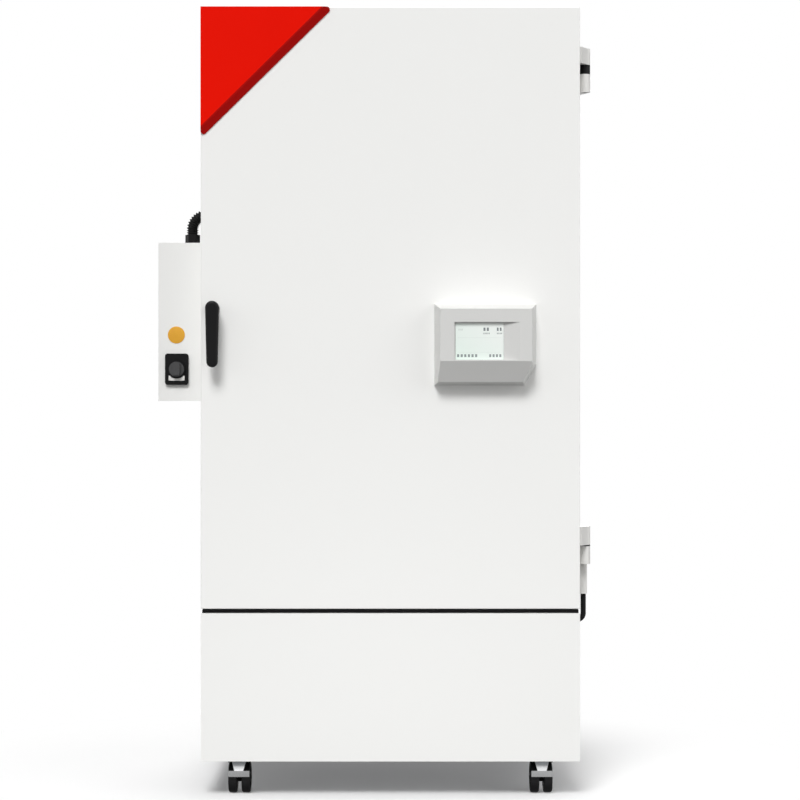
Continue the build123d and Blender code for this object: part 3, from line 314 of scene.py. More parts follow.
# %% [markdown]
# ## Sprayed and moulded surfaces
#
# Powder coat melts into a smooth skin with waves a millimetre or two across. A moulding copies the
# spark-eroded grain of its tool, which is finer and rougher, and rubber looks the same with less
# gloss. An image of such a skin would have a fixed size and seams, and noise has neither. One recipe
# covers them all: one noise for slow changes of colour and gloss, and one for the fine relief.

# %% Grained recipe
slow_size, slow_share, gloss_swing = 0.25, 0.7, 0.08


def grained(slot_name, colour, roughness, grain, depth, variation, coat=0.0, specular=0.5):
    """A coated, moulded or rubber surface: base colour times 1 plus or minus the variation, and a
    relief of the given grain size and depth."""
    finish = Finish(
        slot_name, {"Roughness": roughness, "Coat Weight": coat, "Specular IOR Level": specular}
    )
    slow = finish.noise(slow_size, detail=3)
    fine = finish.noise(grain)
    darker_tone_and_painted_shade, light = scaled(colour, 1 - variation), scaled(colour, 1 + variation)
    finish.feed("Base Color", finish.tint(slow * slow_share + fine * (1 - slow_share), darker_tone_and_painted_shade, light))
    finish.feed("Roughness", slow * gloss_swing + (roughness - gloss_swing / 2))
    finish.relief(fine, depth, strength=0.6)
    dress(slot_name, finish)


# The numbers after a colour are roughness, grain, depth and variation, as in the recipe.
grained("white_powder_coat", paint(246, 246, 244), 0.36, 0.0018, 0.00003, 0.006)
grained("light_grey_cast", paint(234, 233, 230), 0.42, 0.0012, 0.00005, 0.02)
grained("light_plastic", paint(240, 239, 236), 0.44, 0.0009, 0.00003, 0.015)
grained("black_plastic", paint(15, 15, 16), 0.42, 0.0007, 0.00004, 0.12, specular=0.12)
grained("dark_grey_plastic", paint(52, 52, 53), 0.48, 0.0008, 0.00004, 0.1)
grained("black_paint", paint(30, 31, 32), 0.38, 0.0016, 0.00004, 0.1)
grained("black_rubber", paint(18, 18, 19), 0.62, 0.0010, 0.00005, 0.15, specular=0.15)
grained("castor_tyre", paint(26, 26, 27), 0.56, 0.0012, 0.00006, 0.18, specular=0.25)
grained("silicone_gasket", paint(52, 53, 54), 0.6, 0.0014, 0.00004, 0.1, specular=0.35)
grained("white_silicone", paint(226, 226, 220), 0.55, 0.0015, 0.00003, 0.03)
grained("beige_plastic", paint(196, 188, 164), 0.46, 0.0009, 0.00003, 0.04)
grained("board_green", paint(24, 92, 48), 0.38, 0.0040, 0.00006, 0.25, coat=0.3)
print("grained finishes", len(finishes))

# %% [markdown]
# ## The red trim
#
# The trim is glossy red acrylic. Its long bevelled edge turns away from the lamps, and its shade is
# painted on as a darker red. The bevel's faces could have a material of their own, but one comparison
# gives the painted shade too: a point lies on the bevel when it is close to the line between the
# triangle's two sharp corners.

# %% Red trim
trim_low, trim_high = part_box("corner_trim")
trim_run, trim_drop = trim_high.x - trim_low.x, trim_high.z - trim_low.z
trim_length = (trim_run**2 + trim_drop**2) ** 0.5
painted_shade_width = 0.0135

red = Finish("red_trim", {"Roughness": 0.3, "Specular IOR Level": 0.08})
x, y, z = red.place()
inwards = (z - trim_low.z) * (trim_run / trim_length) - (x - trim_low.x) * (trim_drop / trim_length)
# Painted shade on the bevel: 1 within the band's width of the long edge, 0 elsewhere.
edge = inwards < painted_shade_width
face = red.tint(red.noise(0.2), paint(234, 16, 0), paint(240, 18, 0))
# A darker red painted on the bevel as its shade.
darker_tone_and_painted_shade = paint(172, 12, 8)
red.feed("Base Color", red.tint(edge, face, darker_tone_and_painted_shade))
red.feed("Roughness", red.noise(0.03) * 0.06 + 0.27)
red.relief(red.noise(0.004), depth=0.00002)
dress("red_trim", red)
print("trim", round(trim_run, 3), "by", round(trim_drop, 3))

# %% [markdown]
# ## Controller housing and screen
#
# The housing is a silver-grey lacquered moulding with a fine even grain. The display shows a pale
# page with a few grey fields and a row of small marks along the bottom. A drawn image could give it,
# but it is worked out from how far across and up the pane a point lies, as shares from 0 to 1, so it
# stays sharp and fits the pane exactly.

# %% Controller housing
silver = Finish("controller_grey", {"Roughness": 0.4, "Coat Weight": 0.1})
sparkle = silver.noise(0.0006, detail=1)
silver.feed("Base Color", silver.tint(sparkle, paint(209, 209, 207), paint(219, 219, 217)))
silver.feed("Roughness", silver.noise(0.06) * 0.1 + 0.34)
silver.relief(sparkle, depth=0.00003, strength=0.5)
dress("controller_grey", silver)

# %% Screen
pane_low, pane_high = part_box("touch_screen")
screen = Finish("screen_glass", {"Roughness": 0.16, "Coat Weight": 0.2, "Emission Strength": 0.04})
x, y, z = screen.place()
across = (x - pane_low.x) * (1 / (pane_high.x - pane_low.x))
up = (z - pane_low.z) * (1 / (pane_high.z - pane_low.z))


def field(left, right, bottom, top):
    """1 inside a rectangle of the page, 0 outside it: the product of one comparison for each side."""
    return (across > left) * (across < right) * (up > bottom) * (up < top)


bar_share = 0.6


def marks(left, right, bottom, top, count):
    """A row of that many bars inside a rectangle. Each fills the bar's share of its step: it is where
    the remainder of the distance from the left, divided by the step, is less than that."""
    step = (right - left) / count
    return field(left, right, bottom, top) * (((across - left) % step) < bar_share * step)


header = marks(0.58, 0.72, 0.70, 0.74, 5) + marks(0.86, 0.98, 0.70, 0.74, 4)
values = marks(0.58, 0.72, 0.79, 0.88, 2) + marks(0.86, 0.98, 0.79, 0.88, 2)
left_note = marks(0.06, 0.16, 0.80, 0.85, 4)
grid_line = field(0.05, 0.95, 0.60, 0.608) + field(0.05, 0.95, 0.20, 0.207)
icons = marks(0.03, 0.48, 0.07, 0.15, 6) + marks(0.70, 0.98, 0.07, 0.15, 4)
ink = values * 0.9 + header * 0.7 + left_note * 0.25 + grid_line * 0.15 + icons * 0.8
page = screen.tint(across * 0.5 + up * 0.5, paint(226, 240, 232), paint(243, 246, 243))
shown = screen.tint(ink, page, paint(96, 104, 108))
screen.feed("Base Color", shown)
screen.feed("Emission Color", shown)
dress("screen_glass", screen)
print("screen", round(pane_high.x - pane_low.x, 3), "by", round(pane_high.z - pane_low.z, 3))

# %% [markdown]
# ## Metals
#
# Brushed stainless steel has long thin streaks one way, which is noise stretched along that way.
# Zinc plate has a cloudy bloom, copper tube is slightly tarnished, and the coolers' fins are rows
# of thin bright plates, so close together that a stripe pattern with relief does better than
# hundreds of sheets. Its dark stripes are painted shade in the gaps between the plates.

# %% Streaked metals
cloud_size, streak_share, darkest = 0.15, 0.6, 0.9


def brushed(slot_name, colour, roughness, stretch, streak=0.0004, spread=0.12):
    """Bare metal. Streaks, as many times longer along each axis as the stretch says, vary its gloss
    by the spread, and together with slow clouds they vary its colour."""
    finish = Finish(slot_name, {"Metallic": 1.0, "Roughness": roughness})
    lines = finish.noise(streak, stretch)
    clouds = finish.noise(cloud_size)
    mixed = lines * streak_share + clouds * (1 - streak_share)
    finish.feed("Base Color", finish.tint(mixed, scaled(colour, darkest), colour))
    finish.feed("Roughness", lines * spread + (roughness - spread / 2))
    finish.relief(lines, depth=0.00001, strength=0.4)
    dress(slot_name, finish)


# The numbers after a colour are roughness, stretch, streak and spread, as in the recipe.
brushed("stainless_steel", paint(214, 215, 216), 0.34, (200, 200, 1))
brushed("zinc_steel", paint(196, 199, 203), 0.42, (12, 12, 12), 0.0015, 0.2)
brushed("bright_steel", paint(232, 233, 234), 0.2, (1, 1, 30), 0.0005, 0.1)
brushed("copper", paint(208, 134, 92), 0.28, (20, 20, 1), 0.002, 0.15)
print("finishes so far", len(finishes))

# %% Finned coolers
fins = Finish("aluminium_fins", {"Metallic": 0.9, "Roughness": 0.38})
x, y, z = fins.place()
fin_pitch = 0.0026
shade_start, shade_end = 0.45, 0.95
gap = (x % fin_pitch) * (1 / fin_pitch)
# Painted shade: the dark part of each stripe is the shade in the gap between two plates.
shade = (gap > shade_start) * (gap < shade_end)
fins.feed("Base Color", fins.tint(shade, paint(206, 209, 212), paint(96, 99, 102)))
fins.feed("Roughness", fins.noise(0.02) * 0.2 + 0.3)
fins.relief(gap, depth=0.0004, strength=0.5)
dress("aluminium_fins", fins)
print("fins every", fin_pitch * 1000, "mm")

# %% [markdown]
# ## Foam and glass
#
# The insulation is sprayed polyurethane foam, honey-coloured and full of cells a few millimetres
# across. They are too many to model, and a cell pattern gives them. The inner door is clear float
# glass, slightly green. The shader's transmission gives that, where a see-through alpha would lose
# its reflections.

# %% Foam
foam = Finish("foam", {"Roughness": 0.85, "Specular IOR Level": 0.2})
cells_per_metre = 420.0
cells = foam.node("ShaderNodeTexVoronoi", {}, {"Vector": foam.spot(), "Scale": cells_per_metre})
cloudy = cells + foam.noise(0.05) * 0.4
foam.feed("Base Color", foam.tint(cloudy, paint(200, 178, 120), paint(232, 214, 160)))
foam.relief(cells, depth=0.0006)
dress("foam", foam)
print("foam cells", round(1000 / cells_per_metre, 1), "mm")

# %% Glass
glass = Finish(
    "clear_glass",
    {"Base Color": paint(236, 248, 243), "Roughness": 0.03, "Transmission Weight": 0.96, "IOR": 1.45},
)
glass.feed("Roughness", glass.noise(0.12) * 0.02 + 0.02)
dress("clear_glass", glass)
print("finishes", len(finishes))

# %% [markdown]
# ## Every solid gets its finish
#
# Each solid could be given its material by hand. The record names every solid's material slot, so
# one loop dresses them all and leaves none out.

# %% Dress the solids
subparts = frame["record"]["subparts"]
for part in subparts:
    solid = nodes[part["node"]]
    solid.data.materials.clear()
    solid.data.materials.append(finishes[part["material_slot"]].material)
print("dressed", len(subparts), "solids")

# %% [markdown]
# ## Floor
#
# The floor is a plain plane. Near the cabinet it shows the soft shadow, and further out it fades
# into the white of the background. A curved backdrop would do that too, but it would hide the
# cabinet from behind. What bounces off a white floor would light the cabinet from below, so only the
# rays that reach the camera see it as pale as it looks.

# %% Floor's finish
bounced_grey, shown_grey = (0.12, 0.12, 0.12, 1), (0.9, 0.9, 0.9, 1)
fade_start, fade_end, least_fade = 0.4, 1.2, 0.12
sideways_squeeze = 0.9
ground = Finish("studio_floor", {"Roughness": 0.9, "Specular IOR Level": 0.1})
rays = ("Is Camera Ray", "Is Glossy Ray", "Is Transmission Ray")
to_camera, to_gloss, to_glass = (ground.node("ShaderNodeLightPath", {}, {}, output=ray) for ray in rays)
ground.feed("Base Color", ground.tint(to_camera, bounced_grey, shown_grey))
x, y, z = ground.place()
spot = ground.node("ShaderNodeCombineXYZ", {}, {"X": x * sideways_squeeze, "Y": y})
distance = ground.node("ShaderNodeVectorMath", {"operation": "LENGTH"}, {0: spot}, output="Value")
fade_range = {"From Min": fade_start, "From Max": fade_end, "To Min": least_fade, "To Max": 1.0}
fade = ground.node(
    "ShaderNodeMapRange", {"interpolation_type": "SMOOTHSTEP"}, {"Value": distance, **fade_range}
)
visible = ground.node("ShaderNodeClamp", {}, {0: to_camera + to_gloss + to_glass})
white_glow = ground.node("ShaderNodeEmission", {}, {"Strength": 1.0})
lit = Signal(ground, ground.shader.outputs[0])
shown = ground.node("ShaderNodeMixShader", {}, {0: fade * visible, 1: lit, 2: white_glow})
ground.tree.links.new(shown.socket, ground.tree.nodes["Material Output"].inputs[0])
print("floor fades from", fade_start, "to", fade_end, "m")

# %% Floor
floor_half = 30
corners = np.array([(-1, -1, 0), (1, -1, 0), (1, 1, 0), (-1, 1, 0)]) * floor_half
floor_mesh = bpy.data.meshes.new("floor")
floor_mesh.from_pydata(corners.tolist(), [], [(0, 1, 2, 3)])
floor_mesh.materials.append(ground.material)
floor = bpy.data.objects.new("floor", floor_mesh)
bpy.context.scene.collection.objects.link(floor)
print("floor", 2 * floor_half, "m across")

# %% [markdown]
# ## Surfaces worked out as arrays
#
# The fine parts are stacks of rings: a rib of the conduit, a tyre's section or a screw's head is
# one closed outline, repeated and changed along a line. Numpy works out all rings at once as a grid
# of points, and one function joins neighbouring points into faces. That keeps each part to a
# formula and a few sizes, which is easier to check than modelling by hand.

# %% Grid to mesh
def ring_faces(rows, columns, shut_rows):
    """Corner numbers of the quads: a point, the next in its ring, and the same two in the next ring.
    The rings close on themselves, and with shut_rows the last ring joins the first."""
    row, column = np.meshgrid(np.arange(rows if shut_rows else rows - 1), np.arange(columns), indexing="ij")
    beside = (column + 1) % columns
    after = (row + 1) % rows
    corners = [(row, column), (row, beside), (after, beside), (after, column)]
    return np.stack([r * columns + c for r, c in corners], axis=-1).reshape(-1, 4)


def add_piece(name, grids, slot_name, body, shut_rows=False, sharp=35):
    """One mesh from grids of points (rows, columns, 3). Open stacks get a flat face at each end, and
    edges that turn by more than the sharp angle stay crisp. Summed over the triangles, a . (b x c) is
    six times the volume, and where it is negative the faces point inwards and are turned round."""
    points, faces, used = [], [], 0
    for grid in grids:
        rows, columns = grid.shape[:2]
        faces += (ring_faces(rows, columns, shut_rows) + used).tolist()
        if not shut_rows:
            first = np.arange(columns) + used
            faces += [first[::-1].tolist(), (first + (rows - 1) * columns).tolist()]
        points.append(grid.reshape(-1, 3))
        used += rows * columns
    points = np.concatenate(points)
    mesh = bpy.data.meshes.new(name)
    mesh.from_pydata(points.tolist(), [], faces)
    mesh.calc_loop_triangles()
    triangles = np.empty(len(mesh.loop_triangles) * 3, dtype=np.int32)
    mesh.loop_triangles.foreach_get("vertices", triangles)
    a, b, c = points[triangles.reshape(-1, 3)].transpose(1, 0, 2)
    six_volumes = np.einsum("ij,ij->", a, np.cross(b, c))
    if six_volumes < 0:
        mesh.flip_normals()
    mesh.polygons.foreach_set("use_smooth", np.ones(len(mesh.polygons), dtype=bool))
    mesh.set_sharp_from_angle(angle=radians(sharp))
    mesh.materials.append(finishes[slot_name].material)
    piece = bpy.data.objects.new(name, mesh)
    bpy.context.scene.collection.objects.link(piece)
    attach(piece, body)
    print(name, len(mesh.polygons), "faces")
    return piece


# %% Turned shapes
axes = {"X": np.array([1.0, 0, 0]), "Y": np.array([0, 1.0, 0]), "Z": np.array([0, 0, 1.0])}


def turned(profile, centre, axis, sides=48):
    """Rings about an axis through the centre: the centre, plus each profile point's height along the
    axis, plus its radius times cosine and sine of the angle across it."""
    along = axes[axis]
    across, up = np.roll(along, 1), np.roll(along, 2)
    angle = np.linspace(0, 2 * pi, sides, endpoint=False)[:, None]
    spoke = np.cos(angle) * across + np.sin(angle) * up
    radius, height = np.asarray(profile, dtype=float).T
    return np.asarray(centre) + height[:, None, None] * along + radius[:, None, None] * spoke


def arc(radius, centre_radius, centre_height, start, end, count=8):
    """Profile points on part of a circle: its centre plus its radius times (cos t, sin t), with t from
    start to end in degrees."""
    angle = np.radians(np.linspace(start, end, count))
    return np.column_stack([centre_radius + radius * np.cos(angle), centre_height + radius * np.sin(angle)])


print("ring shape", turned([(1, 0), (1, 1)], (0, 0, 0), "Z").shape)


# %% Carried shapes
def carried(path, tangent, plane_normal, section):
    """Rings of a section carried along a flat path: the path's point, plus the section's first number
    across the path in its plane, plus its second number along the plane's normal. A section may be
    one outline or one for each path point."""
    across = np.cross(tangent, plane_normal)
    section = np.broadcast_to(section, (len(path), *np.shape(section)[-2:]))
    return path[:, None] + section[..., :1] * across[:, None] + section[..., 1:] * plane_normal


def bent(start, corner, end, radius, spacing):
    """A straight run, an arc that turns a right angle, and a straight run. With u and v the two
    directions and t the angle turned so far, a point is the start, plus u times the first run and
    radius times sin t, plus v times radius times (1 - cos t) and the second run."""
    start, corner, end = (np.asarray(point, dtype=float) for point in (start, corner, end))
    first, second = np.linalg.norm(corner - start), np.linalg.norm(end - corner)
    u, v = (corner - start) / first, (end - corner) / second
    turn_at, turn = first - radius, radius * pi / 2
    travelled = np.arange(0, turn_at + turn + second - radius, spacing)[:, None]
    t = np.clip((travelled - turn_at) / radius, 0, pi / 2)
    before = np.minimum(travelled, turn_at)
    after = np.maximum(travelled - turn_at - turn, 0)
    path = start + u * (before + radius * np.sin(t)) + v * (radius * (1 - np.cos(t)) + after)
    return path, u * np.cos(t) + v * np.sin(t), np.cross(u, v), travelled[:, 0]


def circle(radius, sides):
    """Points round a circle, its radius times (cos t, sin t), or round one circle for each radius."""
    angle = np.linspace(0, 2 * pi, sides, endpoint=False)
    return np.asarray(radius)[..., None, None] * np.column_stack([np.cos(angle), np.sin(angle)])


print("circle", circle(0.01, 12).shape)

# %% [markdown]
# ## Conduit and hose
#
# The wires between the side box and the cabinet run in a corrugated plastic conduit. Each rib is
# a rounded square wave in the tube's radius, so a smoothed cosine of the length travelled gives it.
# A bump map would leave the outline smooth, and the ribs show there. The hose below the lower hinge
# is the same thing with a finer, shallower rib.

# %% Ribbed hoses
rings_per_rib, squareness = 7, 2.4


def ribbed(name, node, rising, bend, pitch, depth, sides=28):
    """A hose in its node's box. A rising one comes up at the left and turns right along the box's
    top, and the other kind comes down at the right and turns left along its bottom. Its radius is
    the node's, less half the rib depth times 1 minus a squared-off cosine of the length travelled."""
    low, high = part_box(node)
    radius = (high.y - low.y) / 2
    run_y = (low.y + high.y) / 2
    if rising:
        run_x, run_z, start_z, end_x = low.x + radius, high.z - radius, low.z, high.x
    else:
        run_x, run_z, start_z, end_x = high.x - radius, low.z + radius, high.z, low.x
    points = (run_x, run_y, start_z), (run_x, run_y, run_z), (end_x, run_y, run_z)
    path, tangent, normal, travelled = bent(*points, bend, pitch / rings_per_rib)
    wave = np.tanh(squareness * np.cos(2 * pi * travelled / pitch))
    rings = carried(path, tangent, normal, circle(radius - depth / 2 * (1 - wave), sides))
    piece = add_piece(name, [rings], "black_rubber", "root", sharp=60)
    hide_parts(node)


ribbed("conduit", "side_conduit", rising=True, bend=0.036, pitch=0.0056, depth=0.0032)
ribbed("cable_hose", "door_cable", rising=False, bend=0.0159, pitch=0.0026, depth=0.0007)

# %% [markdown]
# ## Gasket
#
# The door's seal is an extruded silicone strip with two soft lobes and a valley between them,
# joined at rounded corners. A bevelled frame would lose the valley. The section is a formula, carried
# round a rectangle whose corners are arcs.

# %% Gasket's path
def rounded_loop(low, high, radius, per_corner=12):
    """A closed flat rectangle with arcs at its corners, and the unit tangent at each point: a
    corner's point is its arc's centre plus the radius times (cos t, sin t). Both have two numbers for
    each point, and whoever uses them adds the third."""
    t = np.concatenate([np.linspace(q, q + pi / 2, per_corner) for q in np.arange(4) * pi / 2])
    quarter = np.repeat(np.arange(4), per_corner)
    centre_across = np.where((quarter == 0) | (quarter == 3), high[0] - radius, low[0] + radius)
    centre_up = np.where(quarter < 2, high[1] - radius, low[1] + radius)
    points = np.column_stack([centre_across + radius * np.cos(t), centre_up + radius * np.sin(t)])
    return points, np.column_stack([-np.sin(t), np.cos(t)])


low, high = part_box("door_gasket")
strip, thick, seal_corner = 0.040, high.y - low.y, 0.024
loop_low, loop_high = (low.x + strip / 2, low.z + strip / 2), (high.x - strip / 2, high.z - strip / 2)
loop, heading = rounded_loop(loop_low, loop_high, seal_corner)
print("gasket", round(loop_high[0] - loop_low[0], 3), "by", round(loop_high[1] - loop_low[1], 3))

# %% Gasket's section
# Its height is the thickness times a flattened half sine, less a bell-shaped valley in the middle.
flatness, valley_depth, valley_width = 0.35, 0.42, 0.006
angle = np.linspace(0, pi, 33)
width_across = strip / 2 * np.cos(angle)
valley = valley_depth * np.exp(-((width_across / valley_width) ** 2))
section = np.column_stack([width_across, thick * np.sin(angle) ** flatness * (1 - valley)])
path, tangent = np.insert(loop, 1, low.y, axis=1), np.insert(heading, 1, 0, axis=1)
rings = carried(path, tangent, axes["Y"], section)
gasket = add_piece("gasket_strip", [rings], "silicone_gasket", "door", shut_rows=True)
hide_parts("door_gasket")

# %% [markdown]
# ## Wire shelves
#
# A shelf is welded from round stainless rod: a frame, thin wires from front to back on top, and two
# cross rods under them. Each could be a curve with a round bevel. All wires are the same rod, though,
# so their ends are given as arrays, and the rings of all of them come out together as one mesh.

# %% Rods
tip_radius, tip_length = 0.7, 0.3


def rods(starts, ends, radius, sides=12):
    """Rings of straight round rods with slightly rounded ends, one grid per rod: a ring's centre
    goes from the start to the end, and at the very ends its radius is the tip's share of the full
    one. The tip's length is a share of that radius too."""
    starts, ends = np.atleast_2d(starts), np.atleast_2d(ends)
    along = ends - starts
    length = np.linalg.norm(along, axis=1, keepdims=True)
    along = along / length
    across = np.roll(along, 1, axis=1)
    up = np.cross(along, across)
    tip = tip_length * radius
    steps = np.stack([0 * length, 0 * length + tip, length - tip, length], axis=1)
    widths = radius * np.array([tip_radius, 1.0, 1.0, tip_radius])
    angle = np.linspace(0, 2 * pi, sides, endpoint=False)[:, None]
    spoke = np.cos(angle)[None] * across[:, None] + np.sin(angle)[None] * up[:, None]
    centres = starts[:, None] + steps * along[:, None]
    return list(centres[:, :, None] + widths[None, :, None, None] * spoke[:, None])


print("one rod", rods((0, 0, 0), (0, 0, 1), 0.002)[0].shape)


# %% Shelves
rod, frame_rod, wire_pitch, frame_corner = 0.0019, 0.003, 0.025, 0.012
for node, body in (("shelf_upper", "upper_shelf"), ("shelf_lower", "lower_shelf")):
    low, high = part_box(node)
    middle_z = (low.z + high.z) / 2
    loop_low, loop_high = (low.x + frame_rod, low.y + frame_rod), (high.x - frame_rod, high.y - frame_rod)
    loop, heading = rounded_loop(loop_low, loop_high, frame_corner)
    path, tangent = np.insert(loop, 2, middle_z, axis=1), np.insert(heading, 2, 0, axis=1)
    rings = carried(path, tangent, axes["Z"], circle(frame_rod, sides=14))
    outer = add_piece(node + "_frame", [rings], "stainless_steel", body, shut_rows=True)
    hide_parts(node)
    count = int((high.x - low.x) / wire_pitch) - 1
    wire_x = (low.x + high.x) / 2 + wire_pitch * (np.arange(count) - (count - 1) / 2)
    near = np.column_stack([wire_x, np.full(count, low.y + frame_rod), np.full(count, high.z - rod)])
    wires = rods(near, near + (0, high.y - low.y - 2 * frame_rod, 0), rod)
    cross_y = low.y + (high.y - low.y) * np.array([1 / 3, 2 / 3])
    left = np.insert(np.column_stack([cross_y, np.full(2, low.z + rod)]), 0, low.x + frame_rod, axis=1)
    wires += rods(left, left + (high.x - low.x - 2 * frame_rod, 0, 0), rod)
    add_piece(node + "_wires", wires, "stainless_steel", body)

# %% [markdown]
# ## Castor wheels
#
# Each castor has two wheels side by side. A wheel is a hard rubber tyre with rounded shoulders,
# moulded onto a hub whose face is dished, with a raised boss round the axle. Both are shapes that
# a lathe could turn. A Screw modifier spins one profile about an axis, and the array does the same
# for both wheels at once, so that a pair is one mesh.

# %% Wheels
wheel_width, bore = 0.0216, 0.0051
tyre_height, shoulder = 0.0075, 0.0045


def wheel_profiles(radius):
    """Closed profiles of the tyre and the hub, as (radius, height from the inner face). The tyre's
    goes over one rounded shoulder, across the tread and over the other. The hub's goes along its
    inner face and the rim, and back over a dish and a raised boss to the bore."""
    rim = radius - tyre_height
    tyre = np.vstack([
        [(rim, 0.0012), (rim + 0.002, 0.0)],
        arc(shoulder, radius - shoulder, shoulder, -90, 0),
        [(radius, wheel_width / 2)],
        arc(shoulder, radius - shoulder, wheel_width - shoulder, 0, 90),
        [(rim + 0.002, wheel_width), (rim, wheel_width - 0.0012)],
    ])
    hub = np.array([
        (bore, 0.0), (rim, 0.0008), (rim + 0.0004, wheel_width / 2), (rim, wheel_width - 0.0008),
        (rim - 0.0024, wheel_width - 0.0004), (rim - 0.0036, wheel_width - 0.0032),
        (0.0145, wheel_width - 0.0052), (0.0125, wheel_width - 0.0048), (0.0115, wheel_width - 0.0006),
        (0.0105, wheel_width), (bore, wheel_width),
    ])
    return tyre, hub


for corner in ("front_left", "front_right", "rear_left", "rear_right"):
    node = "castor_wheels_" + corner
    low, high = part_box(node)
    radius = (high.z - low.z) / 2
    axle = np.array([(low.x + high.x) / 2, (low.y + high.y) / 2, (low.z + high.z) / 2])
    half = (high.x - low.x) / 2 - wheel_width
    shapes = wheel_profiles(radius)
    for kind, profile, slot_name in zip(("tyre_", "hub_"), shapes, ("castor_tyre", "black_plastic")):
        pair = [
            turned(profile * (1, side), axle + (side * half, 0, 0), "X", sides=56)
            for side in (-1, 1)
        ]
        both = add_piece(kind + corner, pair, slot_name, "wheels_" + corner, shut_rows=True)
        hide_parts(node)

# %% [markdown]
# ## Plates and lips
#
# A few thin pieces finish the cabinet: a curved plate under the switch, a plain round plate above
# it, a rubber lip on the base panel's top edge, and a plain strip on the right wall of the base. A
# Bevel modifier could round their edges. Here each is an outline that shrinks a little as it rises,
# so the rounded edge is part of the formula and every piece has few faces.

# %% Slabs
def slab(outline, outwards, place, rise, thickness, round_edge):
    """Rings of an outline (n, 3) at rising heights. The last rings turn in by the edge's radius: the
    inset is radius times 1 - cos t, and the height is thickness less radius times 1 - sin t."""
    t = np.linspace(0, pi / 2, 6)
    inset = np.concatenate([[0], round_edge * (1 - np.cos(t))])
    height = np.concatenate([[0], thickness - round_edge * (1 - np.sin(t))])
    points = np.asarray(outline) + np.asarray(place)
    shrunk = points[None] - inset[:, None, None] * outwards[None]
    return shrunk + height[:, None, None] * np.asarray(rise, dtype=float)


def outwards_of(outline, normal):
    """Unit vectors that point out of a closed flat outline drawn anticlockwise about the normal: the
    way from the point before to the point after, crossed with the normal."""
    heading = np.roll(outline, -1, axis=0) - np.roll(outline, 1, axis=0)
    heading /= np.linalg.norm(heading, axis=1, keepdims=True)
    return np.cross(heading, np.asarray(normal, dtype=float))


print("slab rings", slab([(0, 0, 0)], np.array([(1, 0, 0)]), (0, 0, 0), (0, 0, 1), 0.002, 0.001).shape)

# %% Plate under the switch
box_low, box_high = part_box("side_box")
knob_low, knob_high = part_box("switch_knob")
knob_x, knob_z = (knob_low.x + knob_high.x) / 2, (knob_low.z + knob_high.z) / 2
forwards = (0, -1, 0)

# The top is a circle round the knob with flat ends, and the bottom is a straight line whose ends
# lift a little.
ring_gap, holder_half, holder_top, holder_bottom = 0.0235, 0.0202, 0.0167, 0.0292
end_lift, end_power, switch_plate = 0.0015, 8, 0.008
across_x = np.linspace(-holder_half, holder_half, 41)
top_z = -np.sqrt(np.maximum(ring_gap**2 - across_x**2, holder_top**2))
bottom_z = -holder_bottom + end_lift * (np.abs(across_x) / holder_half) ** end_power
flat = np.concatenate([np.column_stack([across_x, top_z])[::-1], np.column_stack([across_x, bottom_z])])
outline = np.insert(flat, 1, 0, axis=1)
holder_place = (knob_x, box_low.y - switch_plate, knob_z)
holder = slab(
    outline, outwards_of(outline, forwards), holder_place, forwards, thickness=0.0016, round_edge=0.0005
)
add_piece("switch_holder", [holder], "light_grey_cast", "root")

# %% Round plate above the switch
amber = Finish("amber_plate", {"Roughness": 0.42})
amber.feed("Base Color", amber.tint(amber.noise(0.02), paint(222, 160, 40), paint(232, 172, 52)))
amber.relief(amber.noise(0.0015), depth=0.00002)
dress("amber_plate", amber)
disc_radius, disc_thickness, disc_edge = 0.0215, 0.001, 0.0004
disc_left, disc_above = 0.0015, 0.0866
rounded_edge = arc(disc_edge, disc_radius - disc_edge, disc_edge - disc_thickness, 0, -90, count=5)
disc_profile = np.vstack([[(disc_radius, 0.0)], rounded_edge, [(0.002, -disc_thickness)]])
disc = turned(disc_profile, (knob_x - disc_left, box_low.y, knob_z + disc_above), "Y", sides=64)
add_piece("round_plate", [disc], "amber_plate", "root")

# %% Rounded slabs
plate_corner = 0.004


def rounded_slab(low, high, flat_axis, level, thickness, round_edge):
    """A slab with rounded corners that rises from a level along the flat axis, where low and high
    are its corners on the other two. A quarter turn of the heading points out of the outline."""
    loop, heading = rounded_loop(low, high, plate_corner, per_corner=6)
    outwards = np.column_stack([heading[:, 1], -heading[:, 0]])
    rise = np.eye(3)[flat_axis]
    outline, outwards = (np.insert(flat, flat_axis, 0, axis=1) for flat in (loop, outwards))
    return slab(outline, outwards, level * rise, rise, thickness, round_edge)
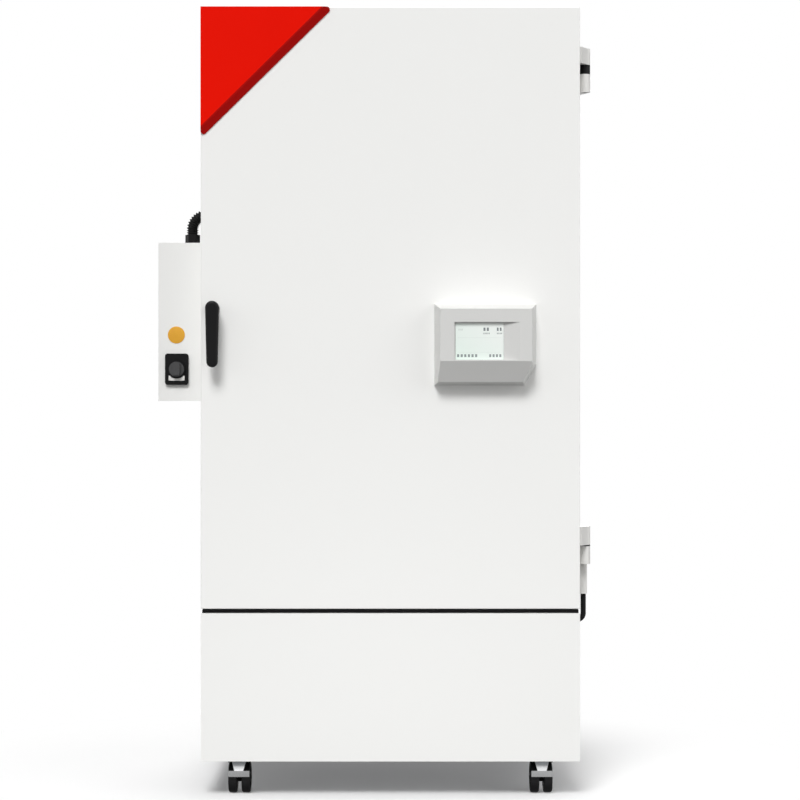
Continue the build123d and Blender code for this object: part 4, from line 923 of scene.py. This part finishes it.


# %% Black lip on the sill
# A black rubber lip on the base panel's top edge. The door's lower edge passes over it with a small
# gap, and the lip makes the line under the door black.
panel_low, panel_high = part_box("base_front_panel")
lip_gap, lip_setback, lip_depth, end_gap = 0.002, 0.014, 0.040, 0.002
lip_low = (panel_low.x + end_gap, panel_low.y + lip_setback)
lip_high = (panel_high.x - end_gap, panel_low.y + lip_setback + lip_depth)
lip_height = door_low.z - panel_high.z - lip_gap
black_lip = rounded_slab(
    lip_low, lip_high, flat_axis=2, level=panel_high.z, thickness=lip_height, round_edge=0.003
)
add_piece("sill_black_lip", [black_lip], "black_rubber", "root")

# %% Strip on the base's right wall
strip_setback, strip_width, strip_bottom, strip_top = 0.085, 0.040, 0.265, 0.350
strip_low = (front_y + strip_setback, strip_bottom)
strip_high = (front_y + strip_setback + strip_width, strip_top)
wall_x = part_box("outer_casing")[1].x
strip_rings = rounded_slab(
    strip_low, strip_high, flat_axis=0, level=wall_x, thickness=0.006, round_edge=0.002
)
add_piece("wall_strip", [strip_rings], "light_plastic", "root")

# %% [markdown]
# ## Screws
#
# Covers are held by button-head screws with a socket. A Boolean could cut it, but a profile that
# goes over the dome and down into the recess gives it in one turn. The recess stays round, because
# a hexagon this small doesn't show. One object holds all the heads of a cover.

# %% Screw heads
def screw_heads(name, places, radius):
    """Button heads at the places, on a wall that faces backwards: a profile that rises over a dome
    and goes down into a socket, as shares of the head's radius, turned about Y."""
    head = np.array([
        (1.0, 0.0), (0.98, 0.14), (0.86, 0.34), (0.66, 0.50), (0.44, 0.56), (0.42, 0.54),
        (0.40, 0.12), (0.05, 0.12),
    ]) * radius
    add_piece(name, [turned(head, place, "Y", sides=24) for place in places], "zinc_steel", "root")


cover_low, cover_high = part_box("side_box_cover")
inset = 0.012
cover_z = (cover_low.z + inset, (cover_low.z + cover_high.z) / 2, cover_high.z - inset)
places = [(cover_high.x + inset, box_high.y, z) for z in cover_z]
screw_heads("cover_screws", places, radius=0.004)

back_low, back_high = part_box("rear_panel")
columns, rows = 5, 7
back_x = np.linspace(back_low.x + inset, back_high.x - inset, columns)
back_z = np.linspace(back_low.z + inset, back_high.z - inset, rows)
places = [(x, back_high.y, z) for x in back_x[[0, -1]] for z in back_z] + [
    (x, back_high.y, z) for x in back_x[1:-1] for z in back_z[[0, -1]]
]
screw_heads("rear_screws", places, radius=0.0034)
